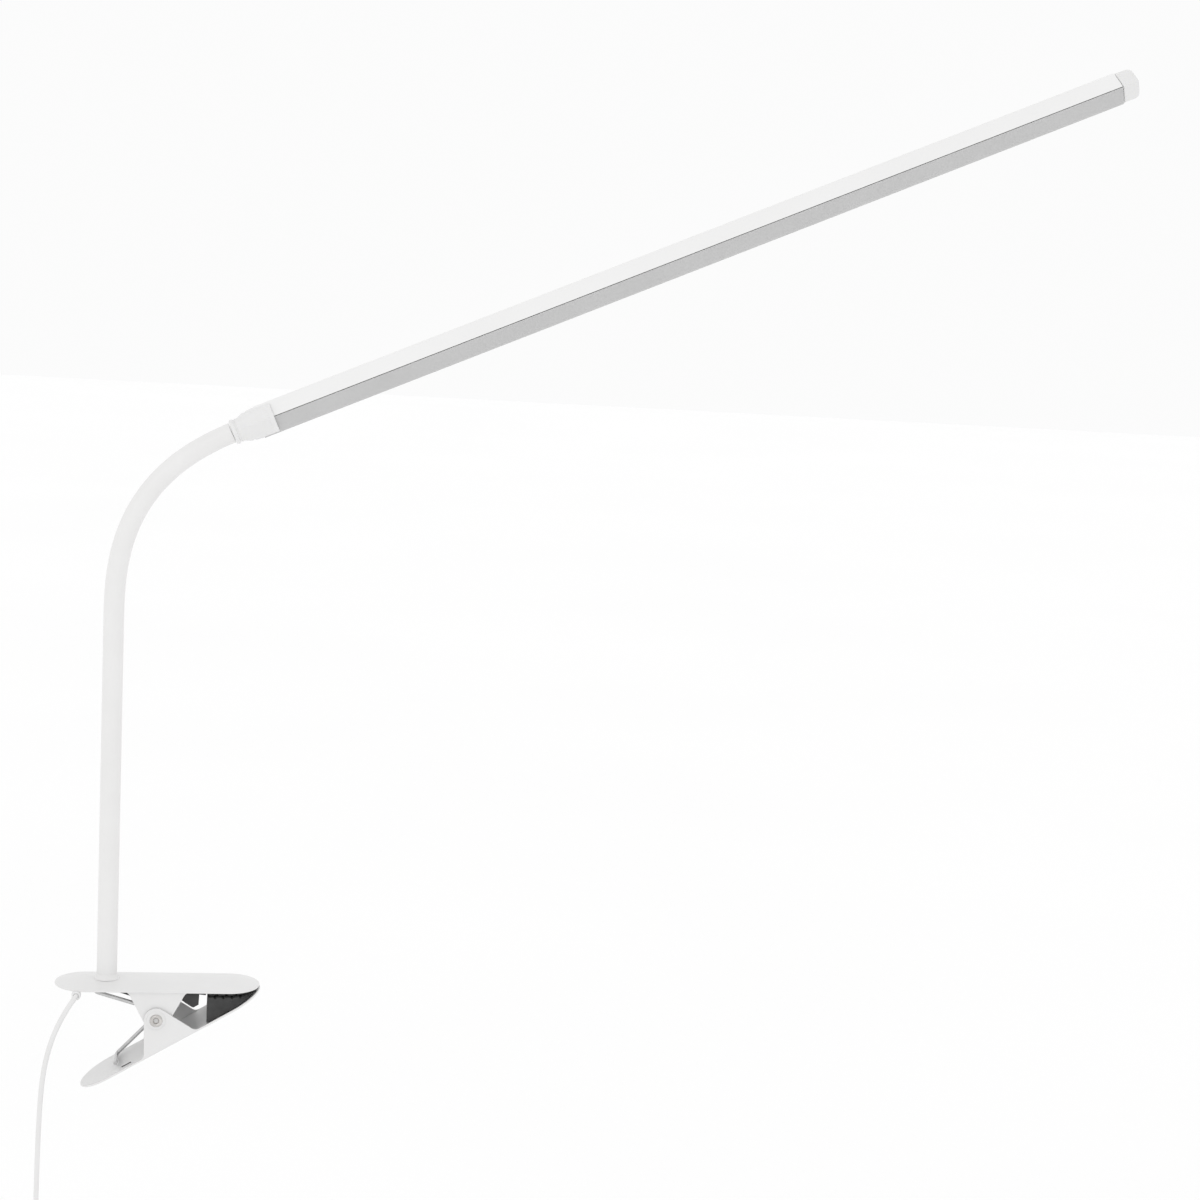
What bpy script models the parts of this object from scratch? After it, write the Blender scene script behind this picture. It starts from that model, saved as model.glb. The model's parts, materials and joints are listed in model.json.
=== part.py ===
"""Clip-on reading lamp: a sprung oval clip, a flexible gooseneck and a long LED light bar.

Frame: the origin is the middle of the upper pad's gripping face, so z = 0 is the table top that
the clip grips. +Z is up, +X points along the light bar and the clip's tips, Y is across the clip.
"""
import math

import bmesh
import bpy
from mathutils import Matrix, Vector

GAP = 0.0003            # clearance between pieces that touch or rest on each other
MERGE = 0.00001         # weld distance, far below the smallest detail

# ---- clip: two oval domed jaws, each with a pair of ears on one rivet
JAW_LENGTH = 0.101
JAW_WIDTH = 0.036
JAW_END = 0.0155        # how far each rounded end reaches along the jaw
JAW_CROWN = 0.0026      # height of the dome's middle over its rim
JAW_SHOULDER = 0.00095  # height of the turned-down edge over the rim, at this share of the width
JAW_EDGE = 0.965
JAW_PLATEAU = 0.30      # share of the half width that is flat on top of the dome
SHEET = 0.0010
RIM_TO_PIVOT = 0.0139   # rivet axis to the plane of the rim
EAR_BASE = 0.0285       # width of an ear where it leaves the rim
EAR_RADIUS = 0.0060     # round end of an ear, about the rivet
UPPER_EAR_Y = 0.0161    # middle of the upper jaw's ear
RIVET_RADIUS = 0.00225
RIVET_HEAD_RADIUS = 0.0032
RIVET_HEAD_HEIGHT = 0.0015

# ---- torsion spring on the rivet
WIRE_RADIUS = 0.0010
COIL_RADIUS = 0.0040
COIL_TURNS = 9.5
SPRING_LEG_Y = 0.0132   # the legs run just inside the ears, one on each side
SPRING_FOOT_X = -0.0300
UPPER_FOOT_LENGTH = 0.0035
LOWER_FOOT_LENGTH = 0.0170

# ---- rubber pads in the jaws
PAD_REAR = 0.0205       # along the jaw from the rivet
PAD_NOSE = 0.0430       # where the nose bevel starts
PAD_TIP_MARGIN = 0.0030
PAD_SIDE_MARGIN = 0.0022
PAD_PROUD = 0.0018      # how far the gripping face stands out of the rim
GRIP_GROOVES = 4
GROOVE_WIDTH = 0.0012
GROOVE_DEPTH = 0.0007
STOP_FRONT = 0.0235     # stop rib behind the upper pad: its ends, its crest and their depths
STOP_REAR = 0.0105
STOP_CREST = 0.0180
STOP_FRONT_DEPTH = 0.0050
STOP_REAR_DEPTH = 0.0040
STOP_CREST_DEPTH = 0.0087

# ---- fixing of the neck under the handle
NECK_X = -0.02515       # along the jaw from the rivet
STUD_RADIUS = 0.0038
STUD_LENGTH = 0.0062    # below the top of the plate
STUD_FLANGE = 0.0012
NUT_ACROSS_FLATS = 0.0120
NUT_HEIGHT = 0.0028
WASHER_RADIUS = 0.0066
WASHER_HEIGHT = 0.0007
COVER_REAR = -0.0350    # black cable cover, along the jaw from the rivet
COVER_FRONT = -0.0095
COVER_HALF_WIDTH = 0.0085
COVER_DEPTH = 0.0060    # below the rim
COVER_WALL = 0.0011

# ---- gooseneck: a steel core in a smooth sleeve
NECK_RADIUS = 0.0050
SLEEVE_BORE = 0.0038
CORE_RADIUS = 0.0034
NECK_LENGTH = 0.2949
NECK_LEAN = math.radians(90.6)      # heading of the upright run, measured from +X
NECK_UPRIGHT = 0.1756
NECK_BEND = 0.1320                  # arc length of the bend, whose last part is in the collar
NECK_JOINTS = 10
SLEEVE_SPACE = 0.0020               # open space between two sleeve lengths, at a joint

# ---- light bar
BAR_PITCH = math.radians(23.8)
BAR_CORNER = 0.0096     # half width, at the seam between housing and diffuser
BAR_TOP = 0.0074        # housing height over the seam
BAR_TOP_FLAT = 0.0026
BAR_BOTTOM = 0.0088     # diffuser depth under the seam
BAR_BOTTOM_FLAT = 0.0030
BAR_ROUND = 0.0040      # radius of the top and bottom edges
BAR_WALL = 0.0012
BAR_VISIBLE = 0.4539    # between collar and end cap
SEAM_LIFT = 0.0007      # the seam lies this far above the neck's axis
COLLAR_LENGTH = 0.0220
COLLAR_MARGIN = 0.0014  # the collar's rim stands this far outside the bar
COLLAR_NECK_RADIUS = 0.0058
COLLAR_SHOULDER = 0.0105
COLLAR_BEAD = 0.0004
COLLAR_WALL = 0.0010
BAR_IN_COLLAR = 0.0080
CAP_LENGTH = 0.0088
CAP_MARGIN = 0.0006
CAP_EDGE = 0.0026
PLUG_LENGTH = 0.0060    # end cap's spigot in the bar
BOARD_WIDTH = 0.0118
BOARD_HEIGHT = 0.0010
BOARD_CLEAR = 0.0006    # underside of the board over the seam
LED_COUNT = 30
LED_HEIGHT = 0.0008
LED_SIZE = 0.0030
LED_STRIP_HEIGHT = 0.0003

# ---- cord, its switch, coil and plug
CORD_RADIUS = 0.00125
GROMMET_RADIUS = 0.0023
GROMMET_LENGTH = 0.0034
CORD_HOLE_X = -0.0392   # along the jaw from the rivet
COIL_MIDDLE_RADIUS = 0.0150
COIL_BUNDLE = 0.0103    # width of the bundle of turns
TIE_WALL = 0.0010
TIE_WIDTH = 0.0060
TIE_SLACK = 0.0008
SWITCH_LENGTH = 0.0420
SWITCH_WIDTH = 0.0145
SWITCH_HEIGHT = 0.0100
SWITCH_WALL = 0.0012
BUTTON_LENGTH = 0.0120
BUTTON_WIDTH = 0.0066
BUTTON_PROUD = 0.0014
BUTTON_TRAVEL = 0.0010
PLUG_BODY = (0.0080, 0.0155, 0.0220)
PLUG_SHELL = (0.0045, 0.0120, 0.0150)
PLUG_SHELL_WALL = 0.0004
BOOT_LENGTH = 0.0090
BOOT_RADIUS = 0.0024

HALF_LENGTH = JAW_LENGTH / 2
HALF_WIDTH = JAW_WIDTH / 2
HALF_SHEET = SHEET / 2
LOWER_EAR_Y = UPPER_EAR_Y + SHEET + GAP
HOLE_RADIUS = RIVET_RADIUS + GAP
CLOSED_ANGLE = 2 * math.atan((RIM_TO_PIVOT - GAP) / HALF_LENGTH)
PIVOT = Vector((-(PAD_REAR + PAD_NOSE) / 2, 0.0, PAD_PROUD - RIM_TO_PIVOT))
DOME_FALL = (JAW_CROWN - JAW_SHOULDER) / JAW_EDGE ** 2
PLATE_TOP = RIM_TO_PIVOT + JAW_CROWN - DOME_FALL * JAW_PLATEAU ** 2
PLATE_UNDER = PLATE_TOP - SHEET

UPPER = Matrix.Translation(PIVOT)
LOWER = (Matrix.Translation(PIVOT) @ Matrix.Rotation(-CLOSED_ANGLE, 4, 'Y')
         @ Matrix.Rotation(math.pi, 4, 'X'))
ALONG_Y = Matrix.Rotation(-math.pi / 2, 4, 'X')

# The hanging cord's route from the middle of its grommet, chosen by hand as steps from there.
CORD_EXIT = PIVOT + Vector((CORD_HOLE_X, -HALF_WIDTH + 0.0008, RIM_TO_PIVOT - 0.0018))
CORD_STEPS = (
    (0.0, 0.0, 0.0), (0.0, -0.0024, 0.0), (-0.0008, -0.0044, -0.0008),
    (-0.0025, -0.0060, -0.0030), (-0.0050, -0.0070, -0.0072), (-0.0080, -0.0075, -0.0132),
    (-0.0107, -0.0077, -0.0204), (-0.0129, -0.0078, -0.0286), (-0.0144, -0.0078, -0.0376),
    (-0.0153, -0.0078, -0.0480), (-0.0158, -0.0078, -0.0610), (-0.0161, -0.0078, -0.0770),
    (-0.0162, -0.0078, -0.0950), (-0.0162, -0.0078, -0.1140), (-0.0162, -0.0078, -0.1250),
)
CORD_ROUTE = [CORD_EXIT + Vector(step) for step in CORD_STEPS]
HANG_X, HANG_Y, SWITCH_TOP_Z = CORD_ROUTE[-1] - Vector((0.0, 0.0, GAP))
SWITCH_BOTTOM_Z = SWITCH_TOP_Z - SWITCH_LENGTH
COIL_OUTER = COIL_MIDDLE_RADIUS + COIL_BUNDLE / 2
COIL_CENTRE = Vector((HANG_X, HANG_Y, SWITCH_BOTTOM_Z - 0.0120 - COIL_OUTER))
PLUG_AT = COIL_CENTRE + Vector((COIL_MIDDLE_RADIUS, COIL_BUNDLE / 2 + 2 * GAP + PLUG_BODY[0] / 2,
                                -0.0040 - GAP - BOOT_LENGTH))
PLUG_PLACE = Matrix.Translation(PLUG_AT) @ Matrix.Rotation(math.pi / 2, 4, 'Z')


def clear_scene():
    for obj in list(bpy.data.objects):
        bpy.data.objects.remove(obj, do_unlink=True)


def collection(name):
    made = bpy.data.collections.new(name)
    bpy.context.scene.collection.children.link(made)
    return made


def material(name, colour, roughness, metallic=0.0):
    made = bpy.data.materials.new(name)
    made.use_nodes = True
    shader = made.node_tree.nodes['Principled BSDF']
    shader.inputs['Base Color'].default_value = (*colour, 1.0)
    shader.inputs['Roughness'].default_value = roughness
    shader.inputs['Metallic'].default_value = metallic
    return made


clear_scene()
MODEL = collection('clip_on_reading_lamp')
CUTTERS = collection('cutters')

WHITE_PAINT = ('white_paint', (0.83, 0.83, 0.82), 0.32)
HOUSING_PAINT = ('housing_paint', (0.85, 0.85, 0.84), 0.30)
WHITE_PLASTIC = ('white_plastic', (0.84, 0.84, 0.82), 0.42)
FROSTED = ('frosted_diffuser', (0.66, 0.66, 0.64), 0.50)
SLEEVE = ('white_sleeve', (0.80, 0.80, 0.78), 0.48)
BLACK_RUBBER = ('black_rubber', (0.035, 0.035, 0.038), 0.70)
BLACK_PLASTIC = ('black_plastic', (0.030, 0.030, 0.032), 0.50)
SPRING_STEEL = ('spring_steel', (0.52, 0.52, 0.53), 0.30, 1.0)
PLATED_STEEL = ('plated_steel', (0.62, 0.61, 0.58), 0.25, 1.0)
BOARD = ('circuit_board', (0.78, 0.79, 0.76), 0.60)
LED = ('led_phosphor', (0.88, 0.72, 0.22), 0.55)
CORD = ('white_cord', (0.80, 0.80, 0.79), 0.50)


def node(name, mesh, look, place=Matrix.Identity(4)):
    obj = bpy.data.objects.new(name, mesh)
    obj.matrix_world = place
    MODEL.objects.link(obj)
    surface = bpy.data.materials.get(look[0]) or material(*look)
    obj.data.materials.append(surface)
    return obj


def as_cutter(obj):
    for holder in list(obj.users_collection):
        holder.objects.unlink(obj)
    CUTTERS.objects.link(obj)
    obj.hide_render = True
    obj.display_type = 'WIRE'
    return obj


def boolean(obj, tool, operation='DIFFERENCE'):
    modifier = obj.modifiers.new(tool.name, 'BOOLEAN')
    modifier.operation = operation
    modifier.object = as_cutter(tool)
    modifier.solver = 'EXACT'
    return obj


def smooth(obj, angle=math.radians(35)):
    obj.data.shade_smooth()
    obj.data.set_sharp_from_angle(angle=angle)
    return obj


def new_mesh(name, build):
    """A mesh made by build(bm)."""
    mesh = bpy.data.meshes.new(name)
    bm = bmesh.new()
    build(bm)
    bm.to_mesh(mesh)
    bm.free()
    return mesh


def box(name, size, centre, look, place=Matrix.Identity(4), edge=0.0):
    def build(bm):
        bmesh.ops.create_cube(bm, size=1.0)
        bmesh.ops.scale(bm, vec=size, verts=bm.verts)
        bmesh.ops.translate(bm, vec=centre, verts=bm.verts)
    obj = node(name, new_mesh(name, build), look, place)
    if edge:
        bevel = obj.modifiers.new('edges', 'BEVEL')
        bevel.width = edge
        bevel.segments = 2
        bevel.limit_method = 'ANGLE'
    return obj


def turned(name, profile, look, place=Matrix.Identity(4), steps=24, closed=False):
    """A profile of (radius, height) points, top to bottom down its outer side, turned about Z."""
    def build(bm):
        verts = [bm.verts.new((radius, 0.0, height)) for radius, height in profile]
        for a, b in zip(verts, verts[1:]):
            bm.edges.new((a, b))
        if closed:
            bm.edges.new((verts[-1], verts[0]))
    obj = node(name, new_mesh(name, build), look, place)
    screw = obj.modifiers.new('turn', 'SCREW')
    screw.steps = screw.render_steps = steps
    screw.use_merge_vertices = True
    screw.merge_threshold = MERGE
    screw.use_smooth_shade = True
    return obj


def tube(name, points, radius, look, sides=2, shares=None, place=Matrix.Identity(4),
         open_ended=False):
    """A round wire or tube through the points; shares scales its radius point by point."""
    curve = bpy.data.curves.new(name, 'CURVE')
    curve.dimensions = '3D'
    curve.bevel_depth = radius
    curve.bevel_resolution = sides
    curve.use_fill_caps = not open_ended
    spline = curve.splines.new('POLY')
    spline.points.add(len(points) - 1)
    for index, point in enumerate(points):
        spline.points[index].co = (*point, 1.0)
        spline.points[index].radius = shares[index] if shares else 1.0
        spline.points[index].tilt = 0.0
    return node(name, curve, look, place)


def curve_to_mesh(obj):
    """Replace a curve by its closed mesh, so that it can be cut or joined."""
    bpy.context.view_layer.update()
    evaluated = obj.evaluated_get(bpy.context.evaluated_depsgraph_get())
    mesh = bpy.data.meshes.new_from_object(evaluated)
    bm = bmesh.new()
    bm.from_mesh(mesh)
    bmesh.ops.remove_doubles(bm, verts=bm.verts, dist=MERGE)
    bm.to_mesh(mesh)
    bm.free()
    made = bpy.data.objects.new(obj.name, mesh)
    made.matrix_world = obj.matrix_world
    name = obj.name
    for holder in obj.users_collection:
        holder.objects.link(made)
    bpy.data.objects.remove(obj, do_unlink=True)
    made.name = name
    return made


def flat(name, outline, thickness, look, place=Matrix.Identity(4)):
    """A flat outline in XY, with half the thickness on each side of the plane."""
    curve = bpy.data.curves.new(name, 'CURVE')
    curve.dimensions = '2D'
    curve.fill_mode = 'BOTH'
    curve.extrude = thickness / 2
    spline = curve.splines.new('POLY')
    spline.points.add(len(outline) - 1)
    for index, (x, y) in enumerate(outline):
        spline.points[index].co = (x, y, 0.0, 1.0)
    spline.use_cyclic_u = True
    return curve_to_mesh(node(name, curve, look, place))


def loft(name, sections, look, place=Matrix.Identity(4), ring=False):
    """Skin matching closed sections, each a list of points; a ring joins the last to the first."""
    def build(bm):
        loops = [[bm.verts.new(point) for point in section] for section in sections]
        for a, b in zip(loops, loops[1:] + (loops[:1] if ring else [])):
            for index in range(len(a)):
                after = (index + 1) % len(a)
                bm.faces.new((a[index], b[index], b[after], a[after]))
        if not ring:
            bm.faces.new(loops[0])
            bm.faces.new(list(reversed(loops[-1])))
        bmesh.ops.recalc_face_normals(bm, faces=bm.faces)
    return node(name, new_mesh(name, build), look, place)


def solidify(obj, thickness):
    modifier = obj.modifiers.new('wall', 'SOLIDIFY')
    modifier.thickness = thickness
    modifier.offset = -1.0
    modifier.use_even_offset = True
    return obj


def arc(centre, radius, start, stop, count):
    return [(centre[0] + radius * math.cos(start + (stop - start) * k / count),
             centre[1] + radius * math.sin(start + (stop - start) * k / count))
            for k in range(count + 1)]


def cylinder(name, radius, length, look, place):
    """A plain round bar, centred on its place and pointing along its Z."""
    def build(bm):
        bmesh.ops.create_cone(bm, cap_ends=True, segments=24, radius1=radius, radius2=radius,
                              depth=length)
    return node(name, new_mesh(name, build), look, place)


# ------------------------------------------------------------------ clip

def oval_ring(share, margin=0.0, steps=9):
    """The jaw's outline in its own plane: share 1 is the rim, smaller shares lie inside it."""
    spine = HALF_LENGTH - JAW_END
    reach = (JAW_END - margin) * share
    side = (HALF_WIDTH - margin) * share
    right = [(spine + reach * math.cos(a), side * math.sin(a))
             for a in (math.pi * (k / steps - 0.5) for k in range(steps + 1))]
    left = [(-x, -y) for x, y in right]
    return right + left


def dome_height(share):
    return RIM_TO_PIVOT + JAW_CROWN - DOME_FALL * share ** 2


def ear_outline(top):
    """A trapezoid from inside the sheet to a round end about the rivet, in (along, height)."""
    half = EAR_BASE / 2
    reach = math.hypot(half, top)
    tangent = math.atan2(top, half) - math.acos(EAR_RADIUS / reach)
    return [(half, top), (-half, top)] + arc((0, 0), EAR_RADIUS, math.pi - tangent,
                                             2 * math.pi + tangent, 12)


def across(y):
    """Turns a flat outline of (along, height) into a plate standing at this place across the jaw."""
    return Matrix.Translation((0, y, 0)) @ Matrix.Rotation(math.pi / 2, 4, 'X')


def jaw(name, place, ear_y):
    """The stamping: over the dome, down its turned edge to the rim and back up inside."""
    def ring(share, height, margin=0.0):
        return [(x, y, height) for x, y in oval_ring(share, margin)]
    shares = (JAW_PLATEAU, 0.56, 0.80, JAW_EDGE)
    sections = [ring(share, dome_height(share)) for share in shares]
    sections += [ring(1.0, RIM_TO_PIVOT + 0.6 * JAW_SHOULDER), ring(1.0, RIM_TO_PIVOT),
                 ring(1.0, RIM_TO_PIVOT, SHEET)]
    sections += [ring(share, dome_height(share) - SHEET) for share in reversed(shares[:-1])]
    obj = loft(name, sections, WHITE_PAINT, place)
    for side, label in ((-1, 'near'), (1, 'far')):
        top = dome_height(ear_y / HALF_WIDTH) - HALF_SHEET
        ear = flat(f'{name}_{label}_ear', ear_outline(top), SHEET, WHITE_PAINT,
                   place @ across(side * ear_y))
        boolean(obj, ear, 'UNION')
    bore = cylinder(f'{name}_bore', HOLE_RADIUS, JAW_WIDTH + 2 * SHEET, WHITE_PAINT,
                    place @ ALONG_Y)
    return smooth(boolean(obj, bore))


def upper_jaw():
    obj = jaw('upper_jaw', UPPER, UPPER_EAR_Y)
    boolean(obj, cylinder('neck_hole', STUD_RADIUS + GAP, 0.01, WHITE_PAINT,
                          UPPER @ Matrix.Translation((NECK_X, 0, PLATE_TOP))))
    boolean(obj, cylinder('cord_notch', GROMMET_RADIUS + GAP, 0.008, WHITE_PAINT,
                          Matrix.Translation(CORD_EXIT) @ ALONG_Y))
    return obj


def lower_jaw():
    obj = jaw('lower_jaw', LOWER, LOWER_EAR_Y)
    slot = box('spring_slot', (0.0068, 0.0010, 0.006), (-0.0205, -0.0020, PLATE_TOP), WHITE_PAINT,
               LOWER)
    return boolean(obj, slot)


def rivet():
    """One solid rivet through all four ears, with a domed head on each side."""
    inner = LOWER_EAR_Y + HALF_SHEET + GAP
    head = [(RIVET_HEAD_RADIUS * math.cos(a), inner + RIVET_HEAD_HEIGHT * math.sin(a))
            for a in (math.pi / 2 * k / 4 for k in range(4, -1, -1))]
    half = [(0.0 if r < MERGE else r, h) for r, h in head] + [(RIVET_RADIUS, inner)]
    profile = half + [(r, -h) for r, h in reversed(half)]
    return turned('pivot_rivet', profile, PLATED_STEEL, UPPER @ ALONG_Y, steps=20)


def tangent_angle(x, z):
    """Angle on the spring's coil where a leg to the point (x, z) leaves it, on the upper side."""
    return math.atan2(z, x) - math.acos(COIL_RADIUS / math.hypot(x, z))


def foot_height():
    """Height of a spring foot under the dome, at the leg's place across the jaw."""
    share = (SPRING_LEG_Y + WIRE_RADIUS) / HALF_WIDTH
    return dome_height(share) - SHEET - WIRE_RADIUS - 1.5 * GAP


def spring_leg(foot_length):
    """Leg from the coil to the foot, and the foot across the jaw, in (x, y, z) with y inward."""
    z = foot_height()
    start = tangent_angle(SPRING_FOOT_X, z)
    begin = Vector((COIL_RADIUS * math.cos(start), 0.0, COIL_RADIUS * math.sin(start)))
    end = Vector((SPRING_FOOT_X, 0.0, z))
    along = (end - begin).normalized()
    turn = 2.2 * WIRE_RADIUS
    corner = [end - along * turn * (1 - k / 3) ** 2 + Vector((0, turn * (k / 3) ** 2, 0))
              for k in range(4)]
    return [begin] + corner + [end + Vector((0, foot_length, 0))], start


def upper_spring():
    """The coil on the rivet with the leg that presses up on the handle."""
    leg, start = spring_leg(UPPER_FOOT_LENGTH)
    side = -SPRING_LEG_Y
    last = SPRING_LEG_Y - 2 * WIRE_RADIUS - 2 * GAP
    steps = round(COIL_TURNS * 10)
    turns = [Vector((COIL_RADIUS * math.cos(start - a), side + (last - side) * k / steps,
                     COIL_RADIUS * math.sin(start - a)))
             for k, a in ((k, 2 * math.pi * COIL_TURNS * k / steps) for k in range(steps + 1))]
    lead = [Vector((p.x, side + p.y, p.z)) for p in reversed(leg)]
    return tube('torsion_spring', lead[:-1] + turns, WIRE_RADIUS, SPRING_STEEL, place=UPPER)


def lower_spring():
    """The spring's other end: a last part turn and the leg that presses down on the lower handle."""
    leg, start = spring_leg(LOWER_FOOT_LENGTH)
    side = -SPRING_LEG_Y
    hook = [Vector((COIL_RADIUS * math.cos(start - a), side, COIL_RADIUS * math.sin(start - a)))
            for a in (math.radians(24 * k) for k in range(6, 0, -1))]
    lead = [Vector((p.x, side + p.y, p.z)) for p in leg]
    return tube('spring_lower_leg', hook + lead, WIRE_RADIUS, SPRING_STEEL, place=LOWER)


def pad_half_width(x):
    """Half width of a pad at this place along the jaw: the oval, less the side margin."""
    spine = HALF_LENGTH - JAW_END
    reach = JAW_END - PAD_TIP_MARGIN
    side = HALF_WIDTH - PAD_SIDE_MARGIN
    if x <= spine:
        return side
    return side * math.sqrt(max(0.0, 1 - ((x - spine) / reach) ** 2))


def pad_face(x):
    """Height of the gripping face over the rivet axis: flat, then a bevelled nose that clears."""
    meeting = (HALF_LENGTH - x) * math.tan(CLOSED_ANGLE / 2)
    return max(RIM_TO_PIVOT - PAD_PROUD, RIM_TO_PIVOT - meeting + 1.2 * GAP)


def pad_stations():
    """Places along the pad: both sides of each grip groove, then the nose and the round tip."""
    lands = GRIP_GROOVES + 1
    pitch = (PAD_NOSE - PAD_REAR + GROOVE_WIDTH) / lands
    stations = []
    for land in range(lands):
        start = PAD_REAR + land * pitch
        stations.append((start, 0.0))
        stations.append((start + pitch - GROOVE_WIDTH, 0.0))
        if land < lands - 1:
            stations.append((start + pitch - GROOVE_WIDTH, GROOVE_DEPTH))
            stations.append((start + pitch, GROOVE_DEPTH))
    spine = HALF_LENGTH - JAW_END
    tip = HALF_LENGTH - PAD_TIP_MARGIN
    nose = [PAD_NOSE + (tip - PAD_NOSE) * math.sin(math.pi / 2 * k / 4) for k in range(1, 5)]
    stations += [(x, 0.0) for x in nose if x > spine]
    return stations


def dome_at(x, y):
    """Height of the dome over the rivet axis at a place on the front half of the jaw."""
    past = max(0.0, x - (HALF_LENGTH - JAW_END)) / JAW_END
    return dome_height(max(JAW_PLATEAU, math.hypot(past, y / HALF_WIDTH)))


def upper_pad():
    """Rubber pad that fills the dome, with a stop rib: sections across the jaw, lofted."""
    def section(x, face, half):
        across_pad = [half * share for share in (-1.0, -0.6, 0.0, 0.6, 1.0)]
        return ([(x, y, dome_at(x, y) - 1.1 * SHEET - GAP) for y in across_pad]
                + [(x, y, face) for y in reversed(across_pad)])
    sections = []
    half = LOWER_EAR_Y - 2.5 * SHEET - GAP
    slope = (STOP_FRONT_DEPTH - STOP_CREST_DEPTH) / (STOP_FRONT - STOP_CREST)
    foot_depth = STOP_CREST_DEPTH + slope * (PAD_REAR - STOP_CREST)
    step = PAD_REAR + 0.2 * GAP
    for x, depth in ((STOP_REAR, STOP_REAR_DEPTH), (STOP_CREST, STOP_CREST_DEPTH),
                     (PAD_REAR, foot_depth), (step, PAD_PROUD)):
        sections.append(section(x, RIM_TO_PIVOT - depth, half))
    for x, groove in pad_stations()[1:]:
        sections.append(section(x, pad_face(x) + groove, max(pad_half_width(x), SHEET)))
    return loft('upper_pad', sections, BLACK_RUBBER, UPPER)


def wedge_section(reach, groove):
    """Across the wedge pad, on a plane that stands upright when the clip is closed."""
    cos, sin = math.cos(CLOSED_ANGLE), math.sin(CLOSED_ANGLE)
    depth = RIM_TO_PIVOT - PAD_PROUD - 1.2 * GAP - groove
    face_x = reach * cos + depth * sin
    face_z = min(reach * sin - depth * cos, pad_face(face_x) + groove)
    rim_x = (reach - RIM_TO_PIVOT * sin) / cos
    shares = (-1.0, -0.6, 0.0, 0.6, 1.0)
    low = []
    for share in shares:
        y = max(pad_half_width(rim_x), SHEET) * share
        z = dome_at(rim_x, y) - 1.1 * SHEET - GAP
        low.append(((reach - z * sin) / cos, y, z))
    half = max(pad_half_width(face_x), SHEET)
    return low + [(face_x, half * share, face_z) for share in reversed(shares)]


def wedge_pad():
    """Thick pad of the lower jaw: it fills the mouth when the clip is closed."""
    sections = []
    for x, groove in pad_stations():
        reach = x * math.cos(CLOSED_ANGLE) + RIM_TO_PIVOT * math.sin(CLOSED_ANGLE)
        sections.append(wedge_section(reach, groove))
    return loft('lower_pad', sections, BLACK_RUBBER, LOWER)


def neck_fixing():
    place = UPPER @ Matrix.Translation((NECK_X, 0, 0))
    flange_top = PLATE_TOP + GAP + STUD_FLANGE
    flange = NECK_RADIUS
    bore = CORD_RADIUS + GAP
    turned('neck_stud', [(bore, flange_top), (flange, flange_top), (flange, PLATE_TOP + GAP),
                         (STUD_RADIUS, PLATE_TOP + GAP), (STUD_RADIUS, PLATE_TOP - STUD_LENGTH),
                         (bore, PLATE_TOP - STUD_LENGTH)],
           PLATED_STEEL, place, steps=20, closed=True)
    washer_top = PLATE_UNDER - GAP
    hole = STUD_RADIUS + GAP
    washer_low = washer_top - WASHER_HEIGHT
    turned('lock_washer', [(hole, washer_top), (WASHER_RADIUS, washer_top),
                           (WASHER_RADIUS, washer_low), (hole, washer_low)],
           PLATED_STEEL, place, steps=20, closed=True)
    nut_top = washer_low - GAP
    corner = NUT_ACROSS_FLATS / math.sqrt(3)
    outline = arc((0, 0), corner, 0, 2 * math.pi, 6)[:-1]
    nut = flat('neck_nut', outline, NUT_HEIGHT, PLATED_STEEL,
               place @ Matrix.Translation((0, 0, nut_top - NUT_HEIGHT / 2)))
    boolean(nut, cylinder('nut_bore', hole, 2 * NUT_HEIGHT, PLATED_STEEL,
                          place @ Matrix.Translation((0, 0, nut_top - NUT_HEIGHT / 2))))


def cable_cover():
    """Black tray under the handle that covers the nut and the cord's way in."""
    length = COVER_FRONT - COVER_REAR
    middle = (COVER_FRONT + COVER_REAR) / 2
    top = RIM_TO_PIVOT + 0.0008
    height = top - (RIM_TO_PIVOT - COVER_DEPTH)
    size = (length, 2 * COVER_HALF_WIDTH, height)
    cover = box('cable_cover', size, (middle, 0, top - height / 2), BLACK_PLASTIC, UPPER,
                edge=0.0012)
    inner = (length - 2 * COVER_WALL, 2 * (COVER_HALF_WIDTH - COVER_WALL), height)
    boolean(cover, box('cover_hollow', inner, (middle, 0, top - height / 2 + COVER_WALL),
                       BLACK_PLASTIC, UPPER))
    return boolean(cover, box('cover_gate', (0.006, 0.0036, 0.0040),
                              (COVER_REAR, -0.0030, top - 0.0020 + GAP), BLACK_PLASTIC, UPPER))


def cord_entry():
    """Grommet in the rim's notch, and the short length of cord between it and the cable cover."""
    hole = CORD_EXIT - PIVOT
    bore = CORD_RADIUS + GAP
    half = GROMMET_LENGTH / 2
    turned('cord_grommet', [(bore, half), (GROMMET_RADIUS, half), (GROMMET_RADIUS, -half),
                            (bore, -half)], WHITE_PLASTIC,
           Matrix.Translation(CORD_EXIT) @ ALONG_Y, steps=16, closed=True)
    inside = hole + Vector((0, half, 0))
    gate = Vector((COVER_REAR + 0.0040, -0.0030, RIM_TO_PIVOT - 0.0014))
    points = [gate, gate + Vector((-0.0040, 0, 0)), Vector((hole.x + 0.0012, gate.y - 0.0008,
                                                            gate.z - 0.0001)),
              inside + Vector((0.0001, 0.0080, 0)), inside + Vector((0, 0.0030, 0)), inside]
    route = smooth_route(points, 12) + [hole + Vector((0, GAP, 0))]
    return tube('lead_inner', route, CORD_RADIUS, CORD, place=UPPER)


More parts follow.
